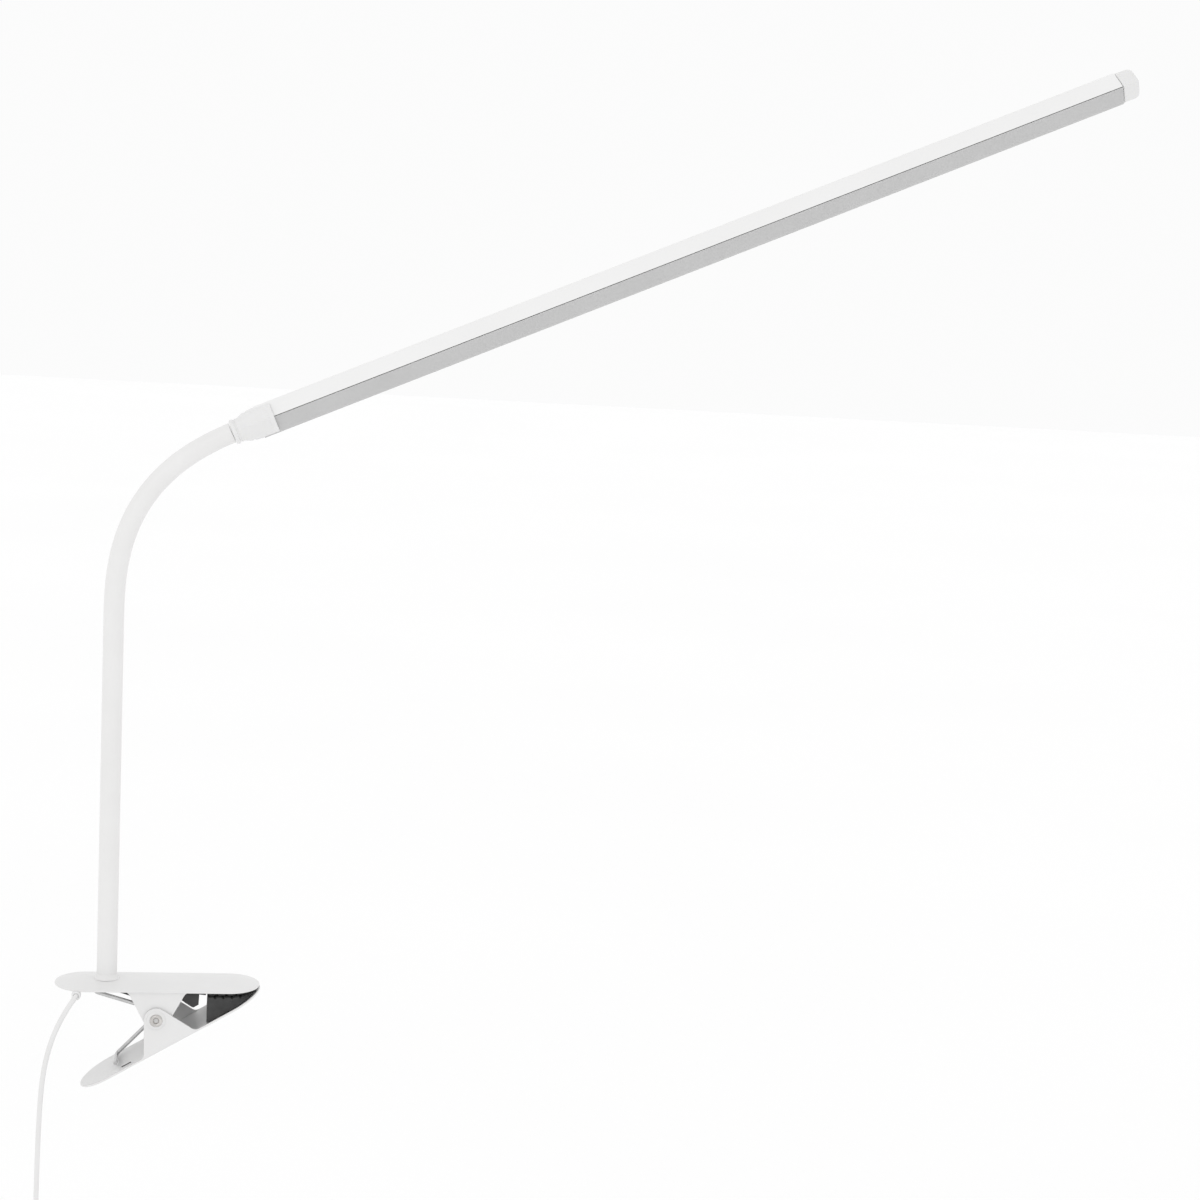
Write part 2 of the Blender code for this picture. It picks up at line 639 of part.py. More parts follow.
def smooth_route(points, count):
    """Points along a smooth curve through the given ones."""
    points = [Vector(p) for p in points]
    ends = [2 * points[0] - points[1]] + points + [2 * points[-1] - points[-2]]
    dense = []
    for a, b, c, d in zip(ends, ends[1:], ends[2:], ends[3:]):
        for k in range(8):
            t = k / 8
            dense.append(0.5 * ((2 * b) + (c - a) * t + (2 * a - 5 * b + 4 * c - d) * t * t
                                + (3 * b - a - 3 * c + d) * t ** 3))
    dense.append(points[-1])
    lengths = [0.0]
    for a, b in zip(dense, dense[1:]):
        lengths.append(lengths[-1] + (b - a).length)
    result, index = [], 0
    for k in range(count):
        goal = lengths[-1] * k / (count - 1)
        while index < len(dense) - 2 and lengths[index + 1] < goal:
            index += 1
        span = lengths[index + 1] - lengths[index]
        result.append(dense[index].lerp(dense[index + 1], min(1.0, (goal - lengths[index]) / span)))
    return result


# ------------------------------------------------------------------ gooseneck

NECK_FOOT = PIVOT + Vector((NECK_X, 0, PLATE_TOP + STUD_FLANGE + 2 * GAP))
NECK_STEPS = 400


def neck_heading(s):
    """Heading of the neck's centreline after an arc length s: upright, then one smooth bend."""
    t = min(1.0, max(0.0, (s - NECK_UPRIGHT) / NECK_BEND))
    return NECK_LEAN - (NECK_LEAN - BAR_PITCH) * t * t * (3 - 2 * t)


def neck_points(start, stop, count):
    """Points of the centreline between two arc lengths."""
    wanted = [start + (stop - start) * k / (count - 1) for k in range(count)]
    points, place, done = [], NECK_FOOT.copy(), 0.0
    for goal in wanted:
        steps = max(1, math.ceil(abs(goal - done) / NECK_LENGTH * NECK_STEPS))
        step = (goal - done) / steps
        for k in range(steps):
            heading = neck_heading(done + (k + 0.5) * step)
            place = place + Vector((math.cos(heading), 0, math.sin(heading))) * step
        done = goal
        points.append(place.copy())
    return points


NECK_TOP = neck_points(0.0, NECK_LENGTH, 2)[-1]
HEAD = Matrix.Translation(NECK_TOP) @ Matrix.Rotation(-BAR_PITCH, 4, 'Y')
JOINT_AT = [(k + 0.5) * NECK_LENGTH / NECK_JOINTS for k in range(NECK_JOINTS)]


def spans(start, stop):
    """Points a length of neck needs: few where it is straight, one each 6 mm where it bends."""
    bends = stop > NECK_UPRIGHT and start < NECK_UPRIGHT + NECK_BEND
    return max(2, math.ceil((stop - start) / 0.006)) if bends else 2


def neck_core(index, start, stop):
    """A length of the steel core with domed ends, so that it can turn against the next one."""
    lead, tail = start > 0, stop < NECK_LENGTH
    start += GAP / 2 if lead else GAP
    stop -= GAP / 2 if tail else GAP
    rounds = [(CORE_RADIUS * (1 - math.cos(a)), math.sin(a))
              for a in (math.pi / 2 * k / 4 for k in (0.5, 1, 2, 3, 4))]
    inner_start = start + (CORE_RADIUS if lead else 0.0)
    inner_stop = stop - (CORE_RADIUS if tail else 0.0)
    count = spans(inner_start, inner_stop)
    stations = [inner_start + (inner_stop - inner_start) * k / (count - 1) for k in range(count)]
    shares = [1.0] * count
    if lead:
        stations = [start + depth for depth, _ in rounds[:-1]] + stations
        shares = [share for _, share in rounds[:-1]] + shares
    if tail:
        stations = stations + [stop - depth for depth, _ in reversed(rounds[:-1])]
        shares = shares + [share for _, share in reversed(rounds[:-1])]
    points = [neck_points(0.0, s, 2)[-1] for s in stations]
    return tube(f'neck_core_{index}', points, CORE_RADIUS, SPRING_STEEL, shares=shares)


def neck_sleeve(index, start, stop):
    """A length of the smooth outer sleeve, open right through for the core."""
    start += SLEEVE_SPACE / 2 if start > 0 else GAP
    stop -= SLEEVE_SPACE / 2 if stop < NECK_LENGTH else GAP
    count = spans(start, stop)
    points = [neck_points(0.0, start + (stop - start) * k / (count - 1), 2)[-1]
              for k in range(count)]
    skin = curve_to_mesh(tube(f'neck_sleeve_{index}', points, NECK_RADIUS, SLEEVE, sides=4,
                              open_ended=True))
    return smooth(solidify(skin, NECK_RADIUS - SLEEVE_BORE))


def gooseneck():
    edges = [0.0] + JOINT_AT + [NECK_LENGTH]
    for index, (start, stop) in enumerate(zip(edges, edges[1:])):
        neck_core(index, start, stop)
        neck_sleeve(index, start, stop)


# ------------------------------------------------------------------ light bar

def rounded(corners, radius, steps=4):
    """Round every inner corner of an open outline."""
    points = [corners[0]]
    for before, corner, after in zip(corners, corners[1:], corners[2:]):
        a, b, c = Vector(before), Vector(corner), Vector(after)
        u, v = (a - b).normalized(), (c - b).normalized()
        half = u.angle(v) / 2
        cut = min(radius / math.tan(half), (a - b).length * 0.9, (c - b).length * 0.45)
        first, last = b + u * cut, b + v * cut
        for k in range(steps + 1):
            t = k / steps
            points.append(tuple(first * (1 - t) ** 2 + b * 2 * t * (1 - t) + last * t ** 2))
    points.append(corners[-1])
    return points


def bar_half(height, flat_half, inset=0.0, seam=0.0):
    """Half of the bar's outline in (across, up), inset all round, from its -Y corner to its +Y."""
    slant = math.hypot(BAR_CORNER - flat_half, height) / abs(height)
    end = height - math.copysign(inset, height)

    def half_at(z):
        return BAR_CORNER - (BAR_CORNER - flat_half) * z / height - slant * inset
    corners = [(-half_at(seam), seam), (-half_at(end), end), (half_at(end), end),
               (half_at(seam), seam)]
    return rounded(corners, BAR_ROUND - inset)


def spaced(points, count):
    """Points at equal steps along a polyline, its two ends among them."""
    lengths = [0.0]
    for a, b in zip(points, points[1:]):
        lengths.append(lengths[-1] + math.dist(a, b))
    result, index = [points[0]], 0
    for k in range(1, count):
        goal = lengths[-1] * k / count
        while lengths[index + 1] < goal:
            index += 1
        share = (goal - lengths[index]) / (lengths[index + 1] - lengths[index])
        a, b = points[index], points[index + 1]
        result.append((a[0] + (b[0] - a[0]) * share, a[1] + (b[1] - a[1]) * share))
    return result + [points[-1]]


def bar_outline(margin):
    """The whole outline of the bar, this far outside it, with evenly spaced points."""
    top = bar_half(BAR_TOP, BAR_TOP_FLAT, -margin)
    low = bar_half(-BAR_BOTTOM, BAR_BOTTOM_FLAT, -margin)
    low = [top[0]] + low[1:-1] + [top[-1]]
    loop = spaced(top, OUTLINE_POINTS) + list(reversed(spaced(low, OUTLINE_POINTS)))[1:-1]
    return [(y, z + SEAM_LIFT) for y, z in loop]


OUTLINE_POINTS = 14
BAR_START = COLLAR_LENGTH - BAR_IN_COLLAR
BAR_END = COLLAR_LENGTH + BAR_VISIBLE - GAP


def bar_shell(name, height, flat_half, seam, look):
    """An open channel along the bar, with its edges at the seam."""
    outer = bar_half(height, flat_half, 0.0, seam)
    inner = bar_half(height, flat_half, BAR_WALL, seam)
    outline = [(y, z + SEAM_LIFT) for y, z in outer + list(reversed(inner))]
    return smooth(loft(name, [[(x, y, z) for y, z in outline] for x in (BAR_START, BAR_END)],
                       look, HEAD))


def light_bar():
    bar_shell('bar_housing', BAR_TOP, BAR_TOP_FLAT, GAP / 2, HOUSING_PAINT)
    bar_shell('diffuser', -BAR_BOTTOM, BAR_BOTTOM_FLAT, -GAP / 2, FROSTED)
    length = BAR_END - BAR_START - 2 * PLUG_LENGTH - 0.002
    middle = (BAR_END + BAR_START) / 2
    board_low = SEAM_LIFT + BOARD_CLEAR
    box('led_board', (length, BOARD_WIDTH, BOARD_HEIGHT),
        (middle, 0, board_low + BOARD_HEIGHT / 2), BOARD, HEAD)
    strip_top = board_low - GAP
    strip_low = strip_top - LED_STRIP_HEIGHT
    pitch = length / LED_COUNT
    begin = middle - length / 2 + 0.001
    end = middle + length / 2 - 0.001
    outline = [(begin, strip_top), (begin, strip_low)]
    for k in range(LED_COUNT):
        at = middle - length / 2 + (k + 0.5) * pitch
        outline += [(at - LED_SIZE / 2, strip_low), (at - LED_SIZE / 2, strip_low - LED_HEIGHT),
                    (at + LED_SIZE / 2, strip_low - LED_HEIGHT), (at + LED_SIZE / 2, strip_low)]
    outline += [(end, strip_low), (end, strip_top)]
    flat('led_strip', outline, LED_SIZE, LED, HEAD @ across(0))


def bar_block(name, start, stop, look):
    """A block that fills the housing's channel above the board."""
    low = BOARD_CLEAR + BOARD_HEIGHT + GAP
    outline = bar_half(BAR_TOP, BAR_TOP_FLAT, BAR_WALL + GAP, low)
    return loft(name, [[(x, y, z + SEAM_LIFT) for y, z in outline] for x in (start, stop)], look,
                HEAD)


def collar():
    """Bell-shaped collar: round at the neck, with the bar's outline at its rim."""
    def section(x, radius, blend, inset=0.0):
        return [(x, (1 - blend) * (radius - inset) * math.cos(a) + blend * y,
                 (1 - blend) * (radius - inset) * math.sin(a) + blend * z)
                for y, z, a in ((y, z, math.atan2(z, y))
                                for y, z in bar_outline(COLLAR_MARGIN - inset))]
    ring = COLLAR_NECK_RADIUS
    body = (ring + BAR_CORNER) / 2
    outer = [
        section(GAP, ring, 0.0), section(0.0010, ring + COLLAR_BEAD, 0.0),
        section(0.0024, ring + COLLAR_BEAD, 0.0), section(0.0032, ring, 0.0),
        section(0.0044, ring, 0.04), section(0.0070, body, 0.32), section(0.0088, body, 0.74),
        section(COLLAR_SHOULDER, body, 0.93), section(0.0125, body, 1.0),
        section(COLLAR_LENGTH, body, 1.0),
    ]
    inner = [
        section(COLLAR_LENGTH, body, 1.0, COLLAR_WALL), section(0.0122, body, 1.0, COLLAR_WALL),
        section(0.0098, body, 0.74, COLLAR_WALL), section(0.0080, body, 0.32, COLLAR_WALL),
        section(0.0052, ring, 0.0, COLLAR_WALL), section(GAP, ring, 0.0, COLLAR_WALL),
    ]
    return smooth(loft('collar', outer + inner, WHITE_PLASTIC, HEAD, ring=True))


def collar_inside():
    """Ferrule that holds the neck in the collar, the block that carries the bar, and its screw."""
    axis = HEAD @ Matrix.Rotation(math.pi / 2, 4, 'Y')
    radius = COLLAR_NECK_RADIUS - COLLAR_WALL - 2 * GAP
    bore = CORD_RADIUS + GAP
    long = COLLAR_SHOULDER - 0.0010
    turned('neck_ferrule', [(bore, long), (radius, long), (radius, GAP), (bore, GAP)],
           PLATED_STEEL, axis, steps=20, closed=True)
    bar_block('bar_socket', BAR_START, BAR_START + PLUG_LENGTH, BLACK_PLASTIC)


def end_cap():
    """Cap over the bar's far end, rounded at its outer edge, and its spigot inside the bar."""
    sections = []
    start = COLLAR_LENGTH + BAR_VISIBLE
    edge = CAP_EDGE
    stations = [(0.0, 0.0), (CAP_LENGTH - edge, 0.0)]
    stations += [(CAP_LENGTH - edge + edge * math.sin(a), edge * (1 - math.cos(a)))
                 for a in (math.pi / 2 * k / 4 for k in range(1, 5))]
    for along, inset in stations:
        share = 1 - inset / BAR_CORNER
        sections.append([(start + along, y * share, SEAM_LIFT + (z - SEAM_LIFT) * share)
                         for y, z in bar_outline(CAP_MARGIN)])
    smooth(loft('end_cap', sections, WHITE_PLASTIC, HEAD))
    bar_block('end_cap_spigot', start - PLUG_LENGTH, start - GAP, WHITE_PLASTIC)


# ------------------------------------------------------------------ cord and what is on it

def hang(z):
    return Matrix.Translation((HANG_X, HANG_Y, z))


def cords():
    length = sum((Vector(b) - Vector(a)).length for a, b in zip(CORD_ROUTE, CORD_ROUTE[1:]))
    count = math.ceil(length / (2.6 * CORD_RADIUS))
    route = CORD_ROUTE[:1] + smooth_route(CORD_ROUTE[1:], count)
    tube('cord_run', route, CORD_RADIUS, CORD)
    top = SWITCH_BOTTOM_Z - GAP
    low = COIL_CENTRE.z + COIL_OUTER + GAP
    tube('cord_lower', [(HANG_X, HANG_Y, top), (HANG_X, HANG_Y, low)], CORD_RADIUS, CORD)
    near, far = COIL_BUNDLE / 2 + GAP + CORD_RADIUS, PLUG_AT.y - COIL_CENTRE.y
    tail = []
    for k in range(13):
        t, angle = k / 12, math.radians(6 + 84 * k / 12)
        across = near + (far - near) * t * t * (3 - 2 * t)
        tail.append(COIL_CENTRE + Vector((COIL_MIDDLE_RADIUS * math.sin(angle), across,
                                          COIL_MIDDLE_RADIUS * math.cos(angle))))
    tail.append(PLUG_AT + Vector((0, 0, BOOT_LENGTH + GAP)))
    tube('cord_tail', tail, CORD_RADIUS, CORD)


def coil_and_tie():
    half = COIL_BUNDLE / 2
    cut = 0.0022
    corners = [(-half, half - cut), (-half + cut, half), (half - cut, half), (half, half - cut),
               (half, -half + cut), (half - cut, -half), (-half + cut, -half), (-half, -half + cut)]
    profile = [(COIL_MIDDLE_RADIUS + x, y) for x, y in corners]
    place = Matrix.Translation(COIL_CENTRE) @ ALONG_Y
    turned('cord_coil', profile, CORD, place, steps=28, closed=True)
    inner = half + TIE_SLACK
    outer = inner + TIE_WALL
    centre = (-COIL_MIDDLE_RADIUS, 0, 0)
    tie = box('cord_tie', (2 * outer, TIE_WIDTH, 2 * outer), centre, BLACK_PLASTIC,
              place, edge=0.0018)
    return boolean(tie, box('tie_space', (2 * inner, 2 * TIE_WIDTH, 2 * inner), centre,
                            BLACK_PLASTIC, place))


def switch():
    """Two shells, a board, a button and a screw, hanging in the cord."""
    middle = SWITCH_TOP_Z - SWITCH_LENGTH / 2
    inner = (SWITCH_HEIGHT - 2 * SWITCH_WALL, SWITCH_WIDTH - 2 * SWITCH_WALL,
             SWITCH_LENGTH - 2 * SWITCH_WALL)
    half = SWITCH_HEIGHT / 2
    for label, side in (('front', -1), ('back', 1)):
        size = (half - GAP / 2, SWITCH_WIDTH, SWITCH_LENGTH)
        shell = box(f'switch_{label}', size, (side * (half + GAP / 2) / 2, 0, 0), WHITE_PLASTIC,
                    hang(middle), edge=0.0016)
        boolean(shell, box(f'switch_{label}_hollow', inner, (0, 0, 0), WHITE_PLASTIC,
                           hang(middle)))
        if label == 'front':
            boolean(shell, box('button_hole',
                               (4 * SWITCH_WALL, BUTTON_WIDTH + 2 * GAP, BUTTON_LENGTH + 2 * GAP),
                               (-half, 0, 0), WHITE_PLASTIC, hang(middle)))
    depth = BUTTON_PROUD + half - 0.0012
    box('switch_button', (depth, BUTTON_WIDTH, BUTTON_LENGTH),
        (-half - BUTTON_PROUD + depth / 2, 0, 0), BLACK_PLASTIC, hang(middle), edge=0.0006)
    box('switch_board', (0.0010, inner[1] - 0.001, inner[2] - 0.004), (0.0012, 0, 0), BOARD,
        hang(middle))


def plug():
    """Moulded body with a boot at the cord, the metal shell and the tongue, behind the coil."""
    body_x, body_y, body_z = PLUG_BODY
    boot = [(0.0, BOOT_LENGTH), (CORD_RADIUS + 0.0004, BOOT_LENGTH), (BOOT_RADIUS, 0.0015),
            (BOOT_RADIUS, 0.0), (0.0, 0.0)]
    turned('plug_boot', boot, WHITE_PLASTIC, PLUG_PLACE, steps=16)
    box('plug_body', PLUG_BODY, (0, 0, -GAP - body_z / 2), WHITE_PLASTIC, PLUG_PLACE,
        edge=0.0015)
    shell_x, shell_y, shell_z = PLUG_SHELL
    shell_top = -2 * GAP - body_z
    wall = PLUG_SHELL_WALL
    shell = box('plug_shell', PLUG_SHELL, (0, 0, shell_top - shell_z / 2), PLATED_STEEL,
                PLUG_PLACE)
    boolean(shell, box('shell_hollow', (shell_x - 2 * wall, shell_y - 2 * wall, shell_z),
                       (0, 0, shell_top - shell_z / 2 - wall), PLATED_STEEL, PLUG_PLACE))
    tongue = (shell_x * 0.4, shell_y - 2 * wall - 2 * GAP, shell_z - wall - 0.001)
    box('plug_tongue', tongue, (shell_x / 2 - wall - GAP - tongue[0] / 2, 0,
                                shell_top - wall - GAP - tongue[2] / 2), BLACK_PLASTIC,
        PLUG_PLACE)


upper_jaw()
lower_jaw()
rivet()
upper_spring()
lower_spring()
upper_pad()
wedge_pad()
neck_fixing()
cable_cover()
cord_entry()
gooseneck()
light_bar()
collar()
collar_inside()
end_cap()
cords()
coil_and_tie()
switch()
plug()
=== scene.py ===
"""Clip-on reading lamp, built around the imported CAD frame. Metres, in the CAD's own frame."""
import json
import math

import bmesh
import bpy
from mathutils import Matrix, Vector


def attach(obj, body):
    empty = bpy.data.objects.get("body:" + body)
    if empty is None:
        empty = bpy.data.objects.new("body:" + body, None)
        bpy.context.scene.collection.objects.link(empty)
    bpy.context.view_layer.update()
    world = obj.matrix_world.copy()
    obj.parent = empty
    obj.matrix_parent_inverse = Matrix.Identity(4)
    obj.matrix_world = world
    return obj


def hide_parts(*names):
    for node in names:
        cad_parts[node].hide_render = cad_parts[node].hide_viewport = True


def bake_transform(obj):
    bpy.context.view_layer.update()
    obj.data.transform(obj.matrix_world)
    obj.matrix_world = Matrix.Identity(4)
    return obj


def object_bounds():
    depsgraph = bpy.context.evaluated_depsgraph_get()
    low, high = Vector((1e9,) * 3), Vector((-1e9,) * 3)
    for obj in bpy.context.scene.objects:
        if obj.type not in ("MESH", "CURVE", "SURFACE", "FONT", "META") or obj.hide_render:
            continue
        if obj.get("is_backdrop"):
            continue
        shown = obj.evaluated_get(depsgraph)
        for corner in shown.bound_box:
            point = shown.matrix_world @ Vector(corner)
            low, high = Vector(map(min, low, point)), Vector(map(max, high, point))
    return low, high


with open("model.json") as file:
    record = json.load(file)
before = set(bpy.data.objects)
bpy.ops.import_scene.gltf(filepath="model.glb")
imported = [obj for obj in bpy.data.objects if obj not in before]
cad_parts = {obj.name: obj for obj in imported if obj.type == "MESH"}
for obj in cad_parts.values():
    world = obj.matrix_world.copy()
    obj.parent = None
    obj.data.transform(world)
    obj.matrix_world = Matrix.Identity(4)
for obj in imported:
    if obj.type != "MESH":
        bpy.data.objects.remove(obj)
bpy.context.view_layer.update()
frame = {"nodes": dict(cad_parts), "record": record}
NODES = frame["nodes"]

# ---- the CAD's own sizes, in metres
GAP = 0.0003
JAW_LENGTH, JAW_WIDTH, JAW_END = 0.101, 0.036, 0.0155
JAW_CROWN, JAW_SHOULDER, JAW_EDGE, JAW_PLATEAU = 0.0026, 0.00095, 0.965, 0.30
SHEET = 0.0010
RIM_TO_PIVOT = 0.0139
EAR_BASE, EAR_RADIUS, UPPER_EAR_Y = 0.0285, 0.0060, 0.0161
RIVET_RADIUS, RIVET_HEAD_RADIUS = 0.00225, 0.0032
WIRE_RADIUS, COIL_RADIUS, COIL_TURNS, SPRING_LEG_Y = 0.0010, 0.0040, 9.5, 0.0132
SPRING_FOOT_X, UPPER_FOOT_LENGTH, LOWER_FOOT_LENGTH = -0.0300, 0.0035, 0.0170
PAD_REAR, PAD_NOSE, PAD_TIP_MARGIN, PAD_SIDE_MARGIN = 0.0205, 0.0430, 0.0030, 0.0022
PAD_PROUD = 0.0018
GRIP_GROOVES, GROOVE_WIDTH, GROOVE_DEPTH = 4, 0.0012, 0.0007
STOP_FRONT, STOP_REAR, STOP_CREST = 0.0235, 0.0105, 0.0180
STOP_FRONT_DEPTH, STOP_REAR_DEPTH, STOP_CREST_DEPTH = 0.0050, 0.0040, 0.0087
NECK_X, NECK_RADIUS, NECK_LENGTH, NECK_JOINTS = -0.02515, 0.0050, 0.2949, 10
NECK_LEAN, NECK_UPRIGHT, NECK_BEND = math.radians(90.6), 0.1756, 0.1320
STUD_FLANGE = 0.0012
BAR_PITCH = math.radians(23.8)
BAR_CORNER, BAR_TOP, BAR_TOP_FLAT = 0.0096, 0.0074, 0.0026
BAR_BOTTOM, BAR_BOTTOM_FLAT, BAR_ROUND, BAR_WALL = 0.0088, 0.0030, 0.0040, 0.0012
BAR_VISIBLE, SEAM_LIFT = 0.4539, 0.0007
COLLAR_LENGTH, COLLAR_MARGIN, COLLAR_NECK_RADIUS, COLLAR_WALL = 0.0220, 0.0014, 0.0058, 0.0010
BAR_IN_COLLAR = 0.0080
CAP_LENGTH, CAP_MARGIN, CAP_EDGE = 0.0088, 0.0006, 0.0026
CORD_RADIUS, CORD_HOLE_X = 0.00125, -0.0392
GROMMET_RADIUS, GROMMET_LENGTH = 0.0023, 0.0034
SWITCH_LENGTH, SWITCH_WIDTH, SWITCH_HEIGHT = 0.0420, 0.0145, 0.0100
BUTTON_LENGTH, BUTTON_WIDTH, BUTTON_PROUD = 0.0120, 0.0066, 0.0014
COIL_MIDDLE_RADIUS, COIL_BUNDLE = 0.0150, 0.0103
PLUG_BODY, BOOT_LENGTH = (0.0080, 0.0155, 0.0220), 0.0090

HALF_LENGTH, HALF_WIDTH = JAW_LENGTH / 2, JAW_WIDTH / 2
LOWER_EAR_Y = UPPER_EAR_Y + SHEET + GAP
CLOSED_ANGLE = 2 * math.atan((RIM_TO_PIVOT - GAP) / HALF_LENGTH)
PIVOT = Vector((-(PAD_REAR + PAD_NOSE) / 2, 0.0, PAD_PROUD - RIM_TO_PIVOT))
DOME_FALL = (JAW_CROWN - JAW_SHOULDER) / JAW_EDGE ** 2
PLATE_TOP = RIM_TO_PIVOT + JAW_CROWN - DOME_FALL * JAW_PLATEAU ** 2
UPPER = Matrix.Translation(PIVOT)
LOWER = (Matrix.Translation(PIVOT) @ Matrix.Rotation(-CLOSED_ANGLE, 4, 'Y')
         @ Matrix.Rotation(math.pi, 4, 'X'))
ALONG_Y = Matrix.Rotation(-math.pi / 2, 4, 'X')

# ---- camera, at the photograph's angle: 2700 px of focal length on a 1200 px frame
FOCAL_PX, FRAME_PX = 2700.0, 1200.0
CAMERA_AT = Vector((-0.01764, -1.33049, 0.36747))
CAMERA_TURN, CAMERA_PITCH, CAMERA_ROLL = math.radians(8.5), math.radians(7.0), math.radians(3.0)


def make_camera():
    forward = Vector((math.sin(CAMERA_TURN) * math.cos(CAMERA_PITCH),
                      math.cos(CAMERA_TURN) * math.cos(CAMERA_PITCH), -math.sin(CAMERA_PITCH)))
    level = Vector((math.cos(CAMERA_TURN), -math.sin(CAMERA_TURN), 0.0))
    upright = level.cross(forward)
    right = level * math.cos(CAMERA_ROLL) + upright * math.sin(CAMERA_ROLL)
    up = upright * math.cos(CAMERA_ROLL) - level * math.sin(CAMERA_ROLL)
    data = bpy.data.cameras.new('camera')
    data.sensor_fit = 'HORIZONTAL'
    data.angle = 2 * math.atan(FRAME_PX / 2 / FOCAL_PX)
    data.clip_start, data.clip_end = 0.05, 30.0
    camera = bpy.data.objects.new('camera', data)
    camera.matrix_world = Matrix.Translation(CAMERA_AT) @ Matrix(
        (right, up, -forward)).transposed().to_4x4()
    bpy.context.scene.collection.objects.link(camera)
    bpy.context.scene.camera = camera


make_camera()


# ------------------------------------------------------------------ materials

RAMP = (0.3, 0.7)


class Surface:
    """A Principled material whose colour, roughness and bump come from noise on the object."""

    def __init__(self, name, roughness, metallic=0.0, **sockets):
        self.material = bpy.data.materials.new(name)
        self.material.use_nodes = True
        self.tree = self.material.node_tree
        self.shader = self.tree.nodes['Principled BSDF']
        self.shader.inputs['Roughness'].default_value = roughness
        self.shader.inputs['Metallic'].default_value = metallic
        for socket, value in sockets.items():
            self.shader.inputs[socket.replace('_', ' ')].default_value = value
        self.coordinates = self.tree.nodes.new('ShaderNodeTexCoord').outputs['Object']
        self.height = None

    def node(self, kind, **values):
        made = self.tree.nodes.new(kind)
        for key, value in values.items():
            if hasattr(made, key):
                setattr(made, key, value)
            else:
                made.inputs[key.replace('_', ' ')].default_value = value
        return made

    def join(self, out, into):
        self.tree.links.new(out, into)

    def noise(self, scale, detail, stretch=(1, 1, 1)):
        mapping = self.node('ShaderNodeMapping')
        mapping.inputs['Scale'].default_value = stretch
        self.join(self.coordinates, mapping.inputs['Vector'])
        made = self.node('ShaderNodeTexNoise', Scale=scale, Detail=detail, Roughness=0.5)
        self.join(mapping.outputs['Vector'], made.inputs['Vector'])
        return made.outputs['Fac']

    def waves(self, scale):
        made = self.node('ShaderNodeTexWave', Scale=scale, Distortion=0.0)
        made.bands_direction = 'X'
        self.join(self.coordinates, made.inputs['Vector'])
        return made.outputs['Fac']

    def colour(self, value, low, high):
        ramp = self.node('ShaderNodeValToRGB')
        ramp.color_ramp.elements[0].position, ramp.color_ramp.elements[1].position = RAMP
        ramp.color_ramp.elements[0].color = (*low, 1.0)
        ramp.color_ramp.elements[1].color = (*high, 1.0)
        self.join(value, ramp.inputs['Fac'])
        self.join(ramp.outputs['Color'], self.shader.inputs['Base Color'])
        return self

    def gloss(self, value, low, high):
        spread = self.node('ShaderNodeMapRange')
        spread.inputs['To Min'].default_value = low
        spread.inputs['To Max'].default_value = high
        self.join(value, spread.inputs['Value'])
        self.join(spread.outputs['Result'], self.shader.inputs['Roughness'])
        return self

    def bump(self, value, distance, strength):
        made = self.node('ShaderNodeBump', Strength=strength, Distance=distance)
        self.join(value, made.inputs['Height'])
        if self.height is not None:
            self.join(self.height, made.inputs['Normal'])
        self.height = made.outputs['Normal']
        self.join(self.height, self.shader.inputs['Normal'])
        return self


def grey(value, warmth=0.0):
    return (value * (1 + warmth), value, value * (1 - warmth))


def grained(name, roughness, colour, gloss, bump, stretch=(1, 1, 1), **sockets):
    """Three noises, each given by its scale and detail: a colour between two colours, a gloss
    between two roughnesses, and a bump of a distance and a strength."""
    made = Surface(name, roughness, **sockets)
    made.colour(made.noise(*colour[:2], stretch), *colour[2:])
    made.gloss(made.noise(*gloss[:2], stretch), *gloss[2:])
    return made.bump(made.noise(*bump[:2], stretch), *bump[2:])


def powder_coat():
    """Powder coat on the clip: fine orange peel over a coarser one."""
    made = grained('powder_coat_white', 0.34, (35, 4, grey(0.755, 0.004), grey(0.785, 0.002)),
                   (180, 3, 0.28, 0.44), (900, 2, 0.00004, 0.35),
                   Coat_Weight=0.15, Coat_Roughness=0.25)
    return made.bump(made.noise(220, 2), 0.00006, 0.25)


def steel(name, low, high, gloss, stretch=(1, 1, 1)):
    return grained(name, 0.3, (250, 4, low, high), (600, 4, *gloss), (900, 3, 0.00002, 0.3),
                   stretch, metallic=1.0)


def circuit_board():
    """White solder mask, with a faint grid of copper under it."""
    made = Surface('solder_mask_white', 0.5)
    made.colour(made.noise(90, 3), grey(0.70, 0.01), grey(0.76, 0.01))
    made.bump(made.waves(180), 0.00003, 0.4)
    return made.gloss(made.noise(300, 2), 0.42, 0.6)


def phosphor():
    made = Surface('led_phosphor', 0.5)
    made.colour(made.noise(700, 3), (0.80, 0.60, 0.14), (0.88, 0.72, 0.26))
    return made.bump(made.noise(1500, 2), 0.00003, 0.5)


